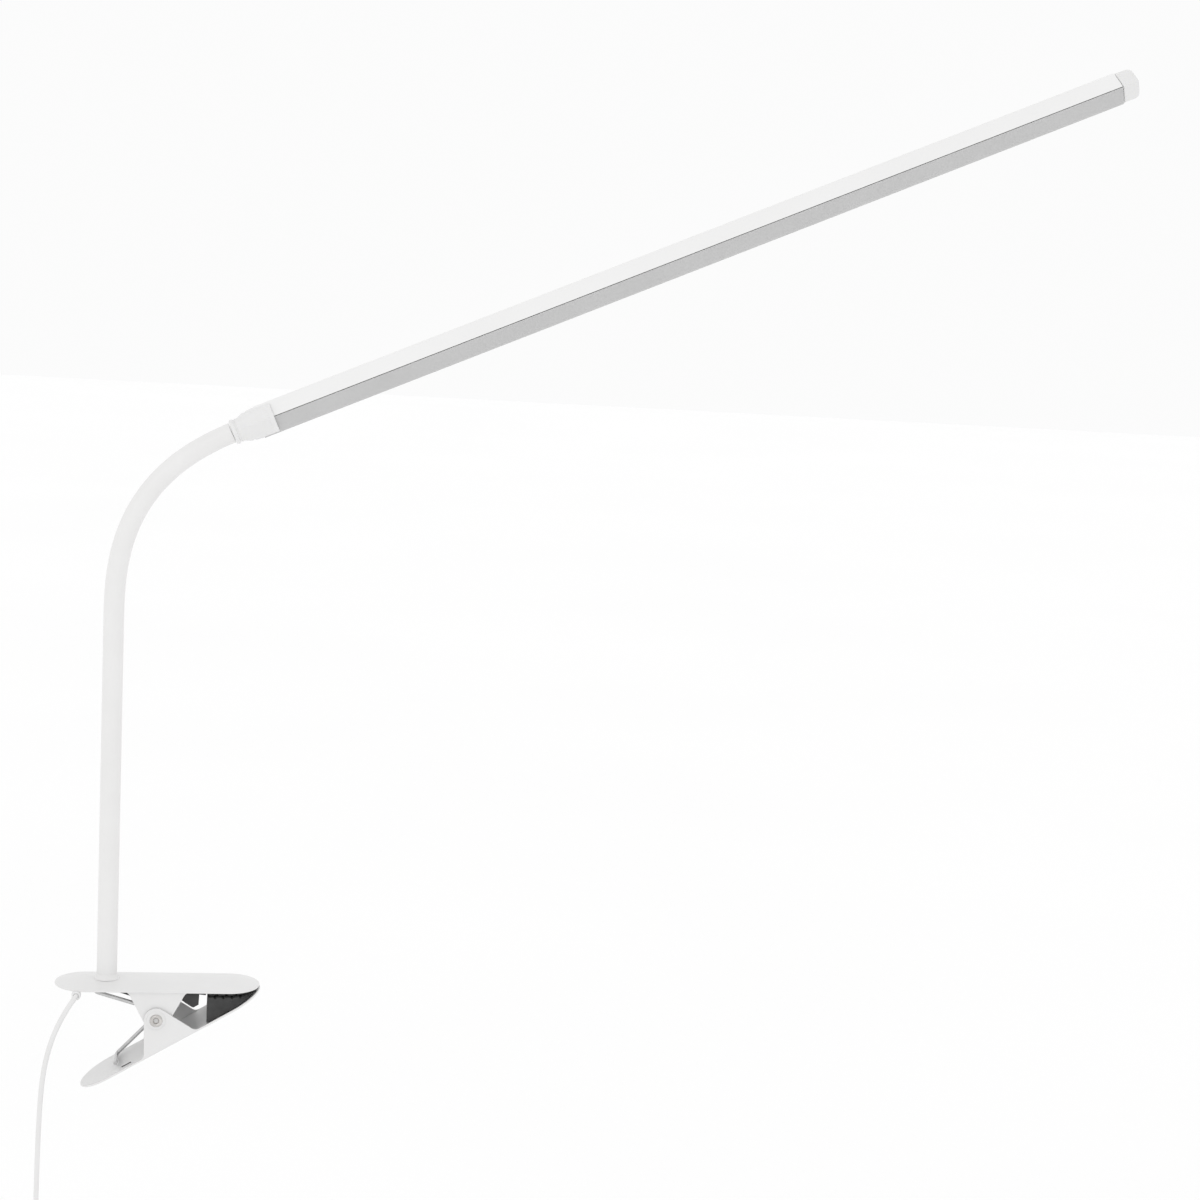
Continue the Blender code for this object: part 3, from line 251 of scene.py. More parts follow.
SURFACES = {
    'white_paint': powder_coat(),
    'housing_paint': grained(
        'satin_paint_white', 0.33, (18, 4, grey(0.835, 0.003), grey(0.860, 0.001)),
        (120, 3, 0.30, 0.42), (700, 2, 0.00002, 0.30), Coat_Weight=0.10, Coat_Roughness=0.3),
    'white_plastic': grained(
        'moulded_plastic_white', 0.4, (60, 4, grey(0.775, 0.003), grey(0.80, 0.001)),
        (240, 3, 0.36, 0.48), (1100, 2, 0.00003, 0.35),
        Subsurface_Weight=0.05, Subsurface_Radius=(0.003, 0.003, 0.0025)),
    # frosted diffuser: its grey is partly the frosted plastic's own tone and partly painted shade,
    # darkening the bar's downward-facing bottom
    'frosted_diffuser': grained(
        'frosted_polycarbonate_painted_shade', 0.5, (30, 4, grey(0.525), grey(0.550)),
        (400, 3, 0.42, 0.56), (2600, 2, 0.00003, 0.45),
        Subsurface_Weight=0.25, Subsurface_Radius=(0.004, 0.004, 0.004), Subsurface_Scale=0.5),
    'white_sleeve': grained(
        'satin_sleeve_white', 0.42, (45, 4, grey(0.785, 0.006), grey(0.815, 0.004)),
        (260, 3, 0.36, 0.50), (1300, 3, 0.00003, 0.40), Sheen_Weight=0.08),
    'black_rubber': grained(
        'black_rubber_moulded', 0.7, (140, 5, grey(0.026), grey(0.048)),
        (500, 3, 0.55, 0.82), (1900, 3, 0.00008, 0.6), Sheen_Weight=0.10),
    'black_plastic': grained(
        'black_plastic_grained', 0.5, (120, 4, grey(0.022), grey(0.040)),
        (420, 3, 0.36, 0.58), (1500, 3, 0.00005, 0.5)),
    'spring_steel': steel('drawn_spring_steel', grey(0.50), grey(0.62), (0.22, 0.36), (1, 6, 1)),
    'plated_steel': steel('nickel_plated_steel', grey(0.52, 0.03), grey(0.66, 0.03),
                          (0.14, 0.26)),
    'circuit_board': circuit_board(),
    'led_phosphor': phosphor(),
    'white_cord': grained(
        'cord_jacket_white', 0.45, (70, 4, grey(0.775, 0.004), grey(0.805, 0.002)),
        (260, 3, 0.38, 0.52), (1600, 3, 0.00003, 0.45), Sheen_Weight=0.05),
}
LOOK = {slot: surface.material for slot, surface in SURFACES.items()}
for row in frame["record"]["subparts"]:
    shown = NODES[row["node"]]
    shown.data.materials.clear()
    shown.data.materials.append(LOOK[row["material_slot"]])


# ------------------------------------------------------------------ making pieces

def piece(name, build, look, body, replaces=(), place=None, sharp=40, edge=0.0, steps=2):
    """An object from build(bm): finished, given its look, riding on its body."""
    mesh = bpy.data.meshes.new(name)
    bm = bmesh.new()
    build(bm)
    bmesh.ops.remove_doubles(bm, verts=bm.verts, dist=0.000001)
    bmesh.ops.recalc_face_normals(bm, faces=bm.faces)
    bm.to_mesh(mesh)
    bm.free()
    obj = bpy.data.objects.new(name, mesh)
    bpy.context.scene.collection.objects.link(obj)
    if edge:
        bevel(obj, edge, steps)
    if place is not None:
        obj.matrix_world = place
    obj.data.shade_smooth()
    obj.data.set_sharp_from_angle(angle=math.radians(sharp))
    dress(obj, look)
    if body:
        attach(obj, body)
    if replaces:
        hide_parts(*replaces)
    return obj


def dress(obj, look):
    obj.data.materials.clear()
    obj.data.materials.append(LOOK[look])


def bevel(obj, width, segments):
    """Bevel the sharp edges and apply it, so that the mesh is final."""
    modifier = obj.modifiers.new('edges', 'BEVEL')
    modifier.width = width
    modifier.segments = segments
    modifier.limit_method = 'ANGLE'
    modifier.angle_limit = math.radians(35)
    apply_modifiers(obj)


def apply_modifiers(obj):
    bpy.context.view_layer.update()
    evaluated = obj.evaluated_get(bpy.context.evaluated_depsgraph_get())
    mesh = bpy.data.meshes.new_from_object(evaluated)
    old = obj.data
    obj.modifiers.clear()
    obj.data = mesh
    mesh.name = obj.name
    bpy.data.meshes.remove(old)


def skin(sections, ring=False, caps=True):
    """Build function: joins matching closed sections, each a list of points."""
    def build(bm):
        loops = [[bm.verts.new(point) for point in section] for section in sections]
        for a, b in zip(loops, loops[1:] + (loops[:1] if ring else [])):
            for index in range(len(a)):
                after = (index + 1) % len(a)
                bm.faces.new((a[index], b[index], b[after], a[after]))
        if caps and not ring:
            bm.faces.new(loops[0])
            bm.faces.new(list(reversed(loops[-1])))
    return build


def turned(profile, sides=48, ring=False):
    """Build function: a profile of (radius, height) turned about Z."""
    def build(bm):
        loops = []
        for radius, height in profile:
            if radius < 1e-6:
                loops.append([bm.verts.new((0, 0, height))])
            else:
                loops.append([bm.verts.new((radius * math.cos(a), radius * math.sin(a), height))
                              for a in (2 * math.pi * k / sides for k in range(sides))])
        for a, b in zip(loops, loops[1:] + (loops[:1] if ring else [])):
            for k in range(sides):
                after = (k + 1) % sides
                corners = [a[k % len(a)], a[after % len(a)], b[after % len(b)], b[k % len(b)]]
                unique = list(dict.fromkeys(corners))
                if len(unique) > 2:
                    bm.faces.new(unique)
    return build


def block(size, centre=(0, 0, 0)):
    def build(bm):
        bmesh.ops.create_cube(bm, size=1.0)
        bmesh.ops.scale(bm, vec=size, verts=bm.verts)
        bmesh.ops.translate(bm, vec=centre, verts=bm.verts)
    return build


def sweep(points, radius, sides):
    """Build function: a round tube along points, with a frame carried along without twist."""
    points = [Vector(p) for p in points]
    tangents = [(b - a).normalized() for a, b in zip(points, points[1:])]
    tangents = ([tangents[0]] + [(a + b).normalized() for a, b in zip(tangents, tangents[1:])]
                + [tangents[-1]])
    side = tangents[0].orthogonal().normalized()
    sections = []
    for point, tangent in zip(points, tangents):
        side = (side - tangent * side.dot(tangent)).normalized()
        other = tangent.cross(side)
        sections.append([point + radius * (side * math.cos(a) + other * math.sin(a))
                         for a in (2 * math.pi * k / sides for k in range(sides))])
    return skin(sections)


def smooth_path(points, step):
    """Evenly spaced points on a smooth curve through the given ones."""
    points = [Vector(p) for p in points]
    ends = [2 * points[0] - points[1]] + points + [2 * points[-1] - points[-2]]
    dense = []
    for a, b, c, d in zip(ends, ends[1:], ends[2:], ends[3:]):
        for k in range(12):
            t = k / 12
            dense.append(0.5 * ((2 * b) + (c - a) * t + (2 * a - 5 * b + 4 * c - d) * t * t
                                + (3 * b - a - 3 * c + d) * t ** 3))
    dense.append(points[-1])
    return even_steps(dense, step)


def even_steps(dense, step):
    lengths = [0.0]
    for a, b in zip(dense, dense[1:]):
        lengths.append(lengths[-1] + (b - a).length)
    count = max(2, round(lengths[-1] / step) + 1)
    result, index = [], 0
    for k in range(count):
        goal = lengths[-1] * k / (count - 1)
        while index < len(dense) - 2 and lengths[index + 1] < goal:
            index += 1
        span = max(1e-12, lengths[index + 1] - lengths[index])
        result.append(dense[index].lerp(dense[index + 1],
                                        max(0.0, min(1.0, (goal - lengths[index]) / span))))
    return result


def prism(outline, thickness, place):
    """Build function: a flat outline in (along, height) as a plate across the jaw."""
    def build(bm):
        near = [bm.verts.new(place @ Vector((x, -thickness / 2, z))) for x, z in outline]
        far = [bm.verts.new(place @ Vector((x, thickness / 2, z))) for x, z in outline]
        bm.faces.new(near)
        bm.faces.new(list(reversed(far)))
        for k in range(len(outline)):
            after = (k + 1) % len(outline)
            bm.faces.new((near[k], far[k], far[after], near[after]))
    return build


# ------------------------------------------------------------------ cord first

CORD_EXIT = PIVOT + Vector((CORD_HOLE_X, -HALF_WIDTH + 0.0008, RIM_TO_PIVOT - 0.0018))
CORD_STEPS = (
    (0.0, 0.0, 0.0), (0.0, -0.0024, 0.0), (-0.0008, -0.0044, -0.0008),
    (-0.0025, -0.0060, -0.0030), (-0.0050, -0.0070, -0.0072), (-0.0080, -0.0075, -0.0132),
    (-0.0107, -0.0077, -0.0204), (-0.0129, -0.0078, -0.0286), (-0.0144, -0.0078, -0.0376),
    (-0.0153, -0.0078, -0.0480), (-0.0158, -0.0078, -0.0610), (-0.0161, -0.0078, -0.0770),
    (-0.0162, -0.0078, -0.0950), (-0.0162, -0.0078, -0.1140), (-0.0162, -0.0078, -0.1250),
)
CORD_ROUTE = [CORD_EXIT + Vector(step) for step in CORD_STEPS]
HANG_X, HANG_Y, SWITCH_TOP_Z = CORD_ROUTE[-1] - Vector((0.0, 0.0, GAP))
SWITCH_BOTTOM_Z = SWITCH_TOP_Z - SWITCH_LENGTH
COIL_OUTER = COIL_MIDDLE_RADIUS + COIL_BUNDLE / 2
COIL_CENTRE = Vector((HANG_X, HANG_Y, SWITCH_BOTTOM_Z - 0.0120 - COIL_OUTER))
PLUG_AT = COIL_CENTRE + Vector((COIL_MIDDLE_RADIUS, COIL_BUNDLE / 2 + 2 * GAP + PLUG_BODY[0] / 2,
                                -0.0040 - GAP - BOOT_LENGTH))
PLUG_PLACE = Matrix.Translation(PLUG_AT) @ Matrix.Rotation(math.pi / 2, 4, 'Z')
TURN_POINTS = 40
PITCH = 2 * CORD_RADIUS + 0.00004


def coil_slots():
    """Where each turn lies in the bundle: (outward, across), layer by layer, front to back."""
    slots = [(0.2 * PITCH, -2.55 * PITCH)]
    for column in range(4):
        across = (column - 1.5) * PITCH
        rows = (-1, 0, 1) if column in (0, 3) else (-1.5, -0.5, 0.5)
        rows = rows if column % 2 == 0 else tuple(reversed(rows))
        slots += [(row * PITCH, across) for row in rows]
    return slots + [(0.2 * PITCH, 2.55 * PITCH)]


def coil_points():
    """The winding: each turn keeps its slot and slides to the next one late in the turn."""
    slots = coil_slots()
    start, stop = math.radians(50), math.radians(60)
    points = []
    total = len(slots) * 2 * math.pi + (stop - start)
    count = round(total / (2 * math.pi) * TURN_POINTS)
    for k in range(count + 1):
        angle = start + total * k / count
        turn = (angle - start) / (2 * math.pi)
        index = min(len(slots) - 1, int(turn))
        late = min(1.0, max(0.0, (turn - index - 0.84) / 0.16))
        late = late * late * (3 - 2 * late)
        after = min(len(slots) - 1, index + 1)
        out = slots[index][0] + (slots[after][0] - slots[index][0]) * late
        across = slots[index][1] + (slots[after][1] - slots[index][1]) * late
        r = COIL_MIDDLE_RADIUS + out
        points.append(COIL_CENTRE + Vector((r * math.sin(angle), across, r * math.cos(angle))))
    return points


def cord_path():
    """The whole cord: from the grommet, through the switch, round the coil, to the plug."""
    hanging = CORD_ROUTE[:1] + smooth_path(CORD_ROUTE[1:], 0.0030)
    straight = [Vector((HANG_X, HANG_Y, z)) for z in (SWITCH_TOP_Z - 0.014, SWITCH_TOP_Z - 0.028,
                                                      SWITCH_BOTTOM_Z)]
    coil = coil_points()
    top = COIL_CENTRE.z + COIL_OUTER
    lead_in = [straight[-1], Vector((HANG_X, HANG_Y, top + 0.0090)),
               Vector((HANG_X + 0.0004, HANG_Y - 0.0015, top + 0.0045)),
               Vector((HANG_X + 0.0030, HANG_Y - 0.0046, top - 0.0012)), coil[0]]
    side = COIL_CENTRE + Vector((COIL_MIDDLE_RADIUS, 0.0, 0.0))
    last = coil[-1].y - COIL_CENTRE.y
    far = PLUG_AT.y - COIL_CENTRE.y
    lead_out = [coil[-1], side + Vector((-0.0003, last + 0.4 * (far - last), 0.0036)),
                side + Vector((0.0, far - 0.0003, -0.0012)),
                PLUG_AT + Vector((0, 0, BOOT_LENGTH + GAP))]
    path = hanging + straight[:-1] + smooth_path(lead_in, 0.0030)[:-1] + coil
    return path + smooth_path(lead_out, 0.0030)[1:]


def make_cord():
    path = cord_path()
    length = sum((b - a).length for a, b in zip(path, path[1:]))
    obj = piece('cord', sweep(path, CORD_RADIUS, 14), 'white_cord', 'clip_base',
                ('cord_run', 'cord_lower', 'cord_coil', 'cord_tail'), sharp=60)
    print('cord length', round(length, 4), 'points', len(path))
    return obj, path, length


def round_box(half_x, half_y, corner, count=6):
    """A rounded rectangle's outline in two coordinates."""
    points = []
    for cx, cy, start in ((1, 1, 0), (-1, 1, 90), (-1, -1, 180), (1, -1, 270)):
        for k in range(count + 1):
            a = math.radians(start + 90 * k / count)
            points.append((cx * (half_x - corner) + corner * math.cos(a),
                           cy * (half_y - corner) + corner * math.sin(a)))
    return points


def switch_body():
    """Inline switch: two soft-edged shells with a parting groove, tapering to the cord."""
    middle = SWITCH_TOP_Z - SWITCH_LENGTH / 2
    half = SWITCH_LENGTH / 2

    def outline(along):
        t = abs(along) / half
        pinch = 1.0 - 0.16 * max(0.0, (t - 0.55) / 0.45) ** 2
        end = math.sqrt(max(0.0, 1 - max(0.0, (t - 0.93) / 0.07) ** 2)) * 0.35 + 0.65
        return (SWITCH_HEIGHT / 2) * pinch * end, (SWITCH_WIDTH / 2) * pinch * end
    stations = [half * math.sin(math.pi / 2 * k / 14) for k in range(-14, 15)]
    made = []
    for label, side in (('front', -1), ('back', 1)):
        sections = []
        for along in stations:
            hx, hy = outline(along)
            corner = min(hx, hy) * 0.55
            keep = []
            for x, y in round_box(hx, hy, corner, 8):
                x = min(x, -0.00010) if side < 0 else max(x, 0.00010)
                keep.append(Vector((HANG_X + x, HANG_Y + y, middle + along)))
            sections.append(keep)
        made.append(piece(f'switch_{label}_shell', skin(sections), 'white_plastic', 'clip_base',
                          (f'switch_{label}',), sharp=50))
    return made, middle


def switch_parts():
    """The button in its surround, and the strain relief sleeves at both ends."""
    (front, back), middle = switch_body()
    face = HANG_X - SWITCH_HEIGHT / 2
    outline = round_box(BUTTON_WIDTH / 2, BUTTON_LENGTH / 2, 0.0026, 8)
    ring = []
    for depth, grow in ((0.0016, 0.0012), (-0.0004, 0.0012), (-0.0006, 0.0008), (-0.0004, 0.0003),
                        (0.0016, 0.0003)):
        ring.append([Vector((face + depth, HANG_Y + y * (1 + grow / (BUTTON_WIDTH / 2)),
                             middle + z * (1 + grow / (BUTTON_LENGTH / 2)))) for y, z in outline])
    surround = piece('switch_surround', skin(ring, ring=True), 'white_plastic', 'clip_base',
                     sharp=50)
    rows = []
    for depth, share in ((0.0022, 1.0), (-0.0007, 1.0), (-0.0011, 0.96), (-BUTTON_PROUD, 0.86),
                         (-BUTTON_PROUD + 0.00015, 0.5), (-BUTTON_PROUD + 0.0003, 0.2)):
        rows.append([Vector((face + depth, HANG_Y + y * share, middle + z * share))
                     for y, z in outline])
    button = piece('switch_button_cap', skin(rows), 'black_plastic', 'switch_button',
                   ('switch_button',), sharp=50)
    reliefs = []
    for label, end, way in (('top', SWITCH_TOP_Z, 1), ('bottom', SWITCH_BOTTOM_Z, -1)):
        profile = [(CORD_RADIUS, -0.0030), (0.0032, -0.0030), (0.0030, 0.0004)]
        for k in range(4):
            base = 0.0010 + 0.0014 * k
            radius = 0.0026 - 0.00022 * k
            profile += [(radius, base), (radius, base + 0.0008), (radius - 0.0005, base + 0.0010),
                        (radius - 0.0005, base + 0.0013)]
        profile += [(CORD_RADIUS + 0.0001, 0.0072), (CORD_RADIUS, 0.0072)]
        place = Matrix.Translation((HANG_X, HANG_Y, end)) @ Matrix.Rotation(
            0 if way > 0 else math.pi, 4, 'X')
        reliefs.append(piece(f'switch_relief_{label}', turned(profile, 32, ring=True),
                             'white_plastic', 'clip_base', place=place, sharp=50))
    return [front, back, surround, button, *reliefs]


def cord_tie():
    """A soft strap round the bundle, with its buckle and free end."""
    centre = COIL_CENTRE - Vector((COIL_MIDDLE_RADIUS + 0.0001, 0, 0))
    half_out, half_across = 0.0060, 0.0080
    inner = round_box(half_out, half_across, 0.0040, 8)
    sections = []
    for z, grow in ((-0.0030, 0.0001), (-0.0030, 0.0008), (-0.0027, 0.0010), (0.0027, 0.0010),
                    (0.0030, 0.0008), (0.0030, 0.0001)):
        sections.append([centre + Vector((x * (1 + grow / half_out), y * (1 + grow / half_across),
                                          z)) for x, y in inner])
    strap = piece('cord_strap', skin(sections, ring=True), 'black_plastic', 'clip_base',
                  ('cord_tie',), sharp=45)
    lock = piece('cord_strap_lock', block((0.0032, 0.0052, 0.0070),
                                          centre - Vector((half_out + 0.0020, 0, 0))),
                 'black_plastic', 'clip_base', edge=0.0007, steps=3)
    tail = [centre + Vector((-half_out - 0.0022 - 0.0002 * k, 0.0018 + 0.0010 * k - 0.00006 * k * k,
                             0.0)) for k in range(7)]
    end = piece('cord_strap_end', sweep_flat(tail, 0.0024, 0.0004), 'black_plastic', 'clip_base')
    return [strap, lock, end]


def sweep_flat(points, half_width, half_thick):
    """Build function: a flat strip along points in the plane across Z."""
    up, sections = Vector((0, 0, 1)), []
    for index, point in enumerate(points):
        a = points[max(0, index - 1)]
        b = points[min(len(points) - 1, index + 1)]
        along = (b - a).normalized()
        out = along.cross(up)
        sections.append([point + out * x + up * z for x, z in
                         round_box(half_thick, half_width, half_thick * 0.9, 3)])
    return skin(sections)


def plug_pieces():
    """Moulded plug behind the coil: body with finger ridges, ribbed boot, and the bright shell."""
    bx, by, bz = PLUG_BODY
    sections = []
    for k in range(25):
        t = k / 24
        soft = 1.0 - 0.16 * max(0.0, 1 - min(t, 1 - t) / 0.10) ** 2
        sections.append([(x, y, -GAP - bz * t)
                         for x, y in round_box(bx / 2 * soft, by / 2 * soft, 0.0024, 6)])
    made = [piece('plug_grip', skin(sections), 'white_plastic', 'clip_base', ('plug_body',),
                  place=PLUG_PLACE, sharp=50)]
    for k in range(5):
        z = -GAP - bz * (0.34 + 0.08 * k)
        for side, label in ((-1, 'near'), (1, 'far')):
            made.append(piece(f'plug_ridge_{k}_{label}',
                              block((0.0052, 0.0006, 0.0007), (0, side * by / 2, z)),
                              'white_plastic', 'clip_base', place=PLUG_PLACE, edge=0.00022))
    profile = [(0.0, BOOT_LENGTH), (CORD_RADIUS + 0.0003, BOOT_LENGTH)]
    for k in range(5):
        z = BOOT_LENGTH - 0.0012 - 0.0015 * k
        r = CORD_RADIUS + 0.00045 + 0.00014 * k
        profile += [(r, z + 0.0005), (r, z - 0.0003), (r - 0.0003, z - 0.0004),
                    (r - 0.0003, z - 0.0008)]
    profile += [(0.0023, 0.0006), (0.0024, -0.0002), (0.0, -0.0002)]
    made.append(piece('plug_relief', turned(profile, 32), 'white_plastic', 'clip_base',
                      ('plug_boot',), place=PLUG_PLACE, sharp=45))
    return made + [NODES['plug_shell'], NODES['plug_tongue']]


CORD, CORD_LINE, CORD_LENGTH = make_cord()
ON_CORD = switch_parts() + cord_tie() + plug_pieces() + [NODES['switch_board']]


# ------------------------------------------------------------------ clip

def dome_height(share):
    return RIM_TO_PIVOT + JAW_CROWN - DOME_FALL * share ** 2


def oval(share, steps=26, straight=10, margin=0.0):
    """The jaw's outline in its plane: share 1 is the rim."""
    spine = HALF_LENGTH - JAW_END
    reach, side = (JAW_END - margin) * share, (HALF_WIDTH - margin) * share
    right = [(spine + reach * math.cos(a), side * math.sin(a))
             for a in (math.pi * (k / steps - 0.5) for k in range(steps + 1))]
    top = [(spine - 2 * spine * k / straight, side) for k in range(1, straight)]
    half = right + top
    return half + [(-x, -y) for x, y in half]


def jaw_shell(name, place, body, node):
    """The stamped dome: smooth crown, edge turned down to a rolled rim, and the inside."""
    def ring(share, height, margin=0.0):
        return [(x, y, height) for x, y in oval(share, margin=margin)]
    edge_share, edge_low = JAW_EDGE, RIM_TO_PIVOT + 0.55 * JAW_SHOULDER
    outer = [0.04, 0.15, 0.30, 0.42, 0.54, 0.66, 0.76, 0.85, 0.92, edge_share]
    sections = [ring(share, dome_height(share)) for share in outer]
    corner = dome_height(edge_share)
    for k in range(1, 5):
        a = math.pi / 2 * k / 4
        sections.append(ring(edge_share + (1 - edge_share) * math.sin(a),
                             edge_low + (corner - edge_low) * math.cos(a)))
    sections += [ring(1.0, RIM_TO_PIVOT + 0.00025), ring(1.0, RIM_TO_PIVOT + 0.00005, 0.00006),
                 ring(1.0, RIM_TO_PIVOT, 0.00025), ring(1.0, RIM_TO_PIVOT, SHEET - 0.0002),
                 ring(1.0, RIM_TO_PIVOT + 0.0001, SHEET)]
    sections += [ring(share, dome_height(share) - SHEET) for share in reversed(outer[:-2])]
    piece(name, skin(sections), 'white_paint', body, (node,), place=place, sharp=60)


def arc_points(centre, radius, start, stop, count):
    return [(centre[0] + radius * math.cos(start + (stop - start) * k / count),
             centre[1] + radius * math.sin(start + (stop - start) * k / count))
            for k in range(count + 1)]


def ear_outline(top):
    """Trapezoid ear with a round end, and a soft fillet where each flank meets the rim."""
    half = EAR_BASE / 2
    reach = math.hypot(half, RIM_TO_PIVOT)
    tangent = math.atan2(RIM_TO_PIVOT, half) - math.acos(EAR_RADIUS / reach)
    fillet = 0.0016
    right = [(half + fillet * 1.5, top), (half + fillet * 1.5, RIM_TO_PIVOT + 0.0001)]
    lean = Vector((EAR_RADIUS * math.cos(tangent) - half,
                   EAR_RADIUS * math.sin(tangent) - RIM_TO_PIVOT)).normalized()
    base = Vector((half, RIM_TO_PIVOT))
    first, last = base + Vector((fillet * 1.3, 0)), base + lean * fillet * 1.3
    for k in range(7):
        t = k / 6
        right.append(tuple(first * (1 - t) ** 2 + base * 2 * t * (1 - t) + last * t ** 2))
    left = [(-x, z) for x, z in right]
    return left + arc_points((0, 0), EAR_RADIUS, math.pi - tangent, 2 * math.pi + tangent,
                             28) + list(reversed(right))


def jaw_ears(name, place, body, ear_y):
    for side, label in ((-1, 'near'), (1, 'far')):
        top = dome_height(ear_y / HALF_WIDTH) - SHEET * 0.45
        at = Matrix.Translation((0, side * ear_y, 0))
        piece(f'{name}_ear_{label}', prism(ear_outline(top), SHEET, at), 'white_paint', body,
              place=place, edge=0.00018, steps=2, sharp=50)


def rivet():
    """Tubular rivet with rolled heads, a washer under each, and the dark bore in the middle."""
    seat = LOWER_EAR_Y + SHEET / 2 + 0.0001
    profile = [(RIVET_RADIUS, seat), (RIVET_HEAD_RADIUS, seat + 0.0001)]
    for k in range(9):
        a = math.pi * k / 8 * 0.80
        profile.append((0.0022 + 0.0010 * math.cos(a), seat + 0.0003 + 0.0011 * math.sin(a)))
    profile += [(0.00118, seat + 0.0006), (0.0011, seat - 0.0010), (0.0, seat - 0.0011)]
    full = profile[::-1]
    low = [(r, -h) for r, h in profile]
    piece('rivet_barrel', turned(full + low, 48), 'plated_steel', 'clip_base', ('pivot_rivet',),
          place=UPPER @ ALONG_Y, sharp=55)
    for side, label in ((-1, 'near'), (1, 'far')):
        ring = [(RIVET_HEAD_RADIUS - 0.0004, seat), (RIVET_HEAD_RADIUS + 0.0012, seat),
                (RIVET_HEAD_RADIUS + 0.0013, seat + 0.00015),
                (RIVET_HEAD_RADIUS + 0.0010, seat + 0.0004),
                (RIVET_HEAD_RADIUS - 0.0004, seat + 0.0004)]
        piece(f'rivet_washer_{label}', turned([(r, side * h) for r, h in ring], 48, ring=True),
              'white_paint', 'lower_jaw', place=UPPER @ ALONG_Y, sharp=50)


def spring_path():
    """(leg line, start angle): the leg from the coil to its foot under the dome."""
    share = (SPRING_LEG_Y + WIRE_RADIUS) / HALF_WIDTH
    z = dome_height(share) - SHEET - WIRE_RADIUS - 1.5 * GAP
    reach = math.hypot(SPRING_FOOT_X, z)
    start = math.atan2(z, SPRING_FOOT_X) - math.acos(COIL_RADIUS / reach)
    begin = Vector((COIL_RADIUS * math.cos(start), 0.0, COIL_RADIUS * math.sin(start)))
    return begin, Vector((SPRING_FOOT_X, 0.0, z)), start


def spring_leg(foot_length):
    begin, end, start = spring_path()
    along = (end - begin).normalized()
    turn = 2.4 * WIRE_RADIUS
    steps = [begin.lerp(end - along * turn, k / 14) for k in range(14)]
    corner = [end - along * turn * (1 - t) ** 2 + Vector((0, turn * t ** 2, 0))
              for t in (k / 8 for k in range(9))]
    foot = [end + Vector((0, turn + (foot_length - turn) * k / 4, 0)) for k in range(1, 5)]
    return steps + corner + foot, start


def springs():
    side = -SPRING_LEG_Y
    leg, start = spring_leg(UPPER_FOOT_LENGTH)
    last = SPRING_LEG_Y - 2 * WIRE_RADIUS - 2 * GAP
    count = round(COIL_TURNS * 36)
    turns = [Vector((COIL_RADIUS * math.cos(start - a), side + (last - side) * k / count,
                     COIL_RADIUS * math.sin(start - a)))
             for k, a in ((k, 2 * math.pi * COIL_TURNS * k / count) for k in range(count + 1))]
    lead = [Vector((p.x, side + p.y, p.z)) for p in reversed(leg)]
    piece('spring_coil', sweep(lead[:-1] + turns, WIRE_RADIUS, 16), 'spring_steel', 'clip_base',
          ('torsion_spring',), place=UPPER, sharp=60)
    leg, start = spring_leg(LOWER_FOOT_LENGTH)
    hook = [Vector((COIL_RADIUS * math.cos(start - a), side, COIL_RADIUS * math.sin(start - a)))
            for a in (math.radians(6 * k) for k in range(24, 0, -1))]
    lead = [Vector((p.x, side + p.y, p.z)) for p in leg]
    piece('spring_leg_lower', sweep(hook + lead, WIRE_RADIUS, 16), 'spring_steel', 'lower_jaw',
          ('spring_lower_leg',), place=LOWER, sharp=60)


def pad_half_width(x):
    spine, reach = HALF_LENGTH - JAW_END, JAW_END - PAD_TIP_MARGIN
    side = HALF_WIDTH - PAD_SIDE_MARGIN
    return side if x <= spine else side * math.sqrt(max(0.0, 1 - ((x - spine) / reach) ** 2))


def pad_face(x):
    meeting = (HALF_LENGTH - x) * math.tan(CLOSED_ANGLE / 2)
    return max(RIM_TO_PIVOT - PAD_PROUD, RIM_TO_PIVOT - meeting + 1.2 * GAP)


def dome_at(x, y):
    past = max(0.0, x - (HALF_LENGTH - JAW_END)) / JAW_END
    return dome_height(max(JAW_PLATEAU, math.hypot(past, y / HALF_WIDTH)))


def pad_section(x, face, half, soften=0.0005):
    """Across the pad: top under the dome, and the face with its long edges rounded."""
    shares = [math.sin(math.pi / 2 * s) for s in (-1, -0.8, -0.55, -0.3, 0, 0.3, 0.55, 0.8, 1)]
    top = [(x, half * s, dome_at(x, half * s) - 1.1 * SHEET - GAP) for s in shares]
    low = []
    for s in reversed(shares):
        edge = soften * max(0.0, (abs(s) - 0.90) / 0.10)
        low.append((x, half * s, face + edge))
    return top + low


def pad_stations(bevel_x=0.00035):
    """(along, groove depth) places: each land with soft edges, the grooves, then the round tip."""
    lands = GRIP_GROOVES + 1
    pitch = (PAD_NOSE - PAD_REAR + GROOVE_WIDTH) / lands
    stations = []
    for land in range(lands):
        start = PAD_REAR + land * pitch
        stop = start + pitch - GROOVE_WIDTH
        stations += [(start, bevel_x), (start + bevel_x, 0.0), (stop - bevel_x, 0.0),
                     (stop, bevel_x)]
        if land < lands - 1:
            stations += [(stop + 0.0001, GROOVE_DEPTH), (start + pitch - 0.0001, GROOVE_DEPTH)]
    tip = HALF_LENGTH - PAD_TIP_MARGIN
    return stations[:-1] + [(PAD_NOSE + (tip - PAD_NOSE) * math.sin(math.pi / 2 * k / 10), 0.0)
                            for k in range(1, 11)]


SHARES = [math.sin(math.pi / 2 * s) for s in (-1, -0.9, -0.75, -0.5, -0.25, 0, 0.25, 0.5, 0.75,
                                             0.9, 1)]


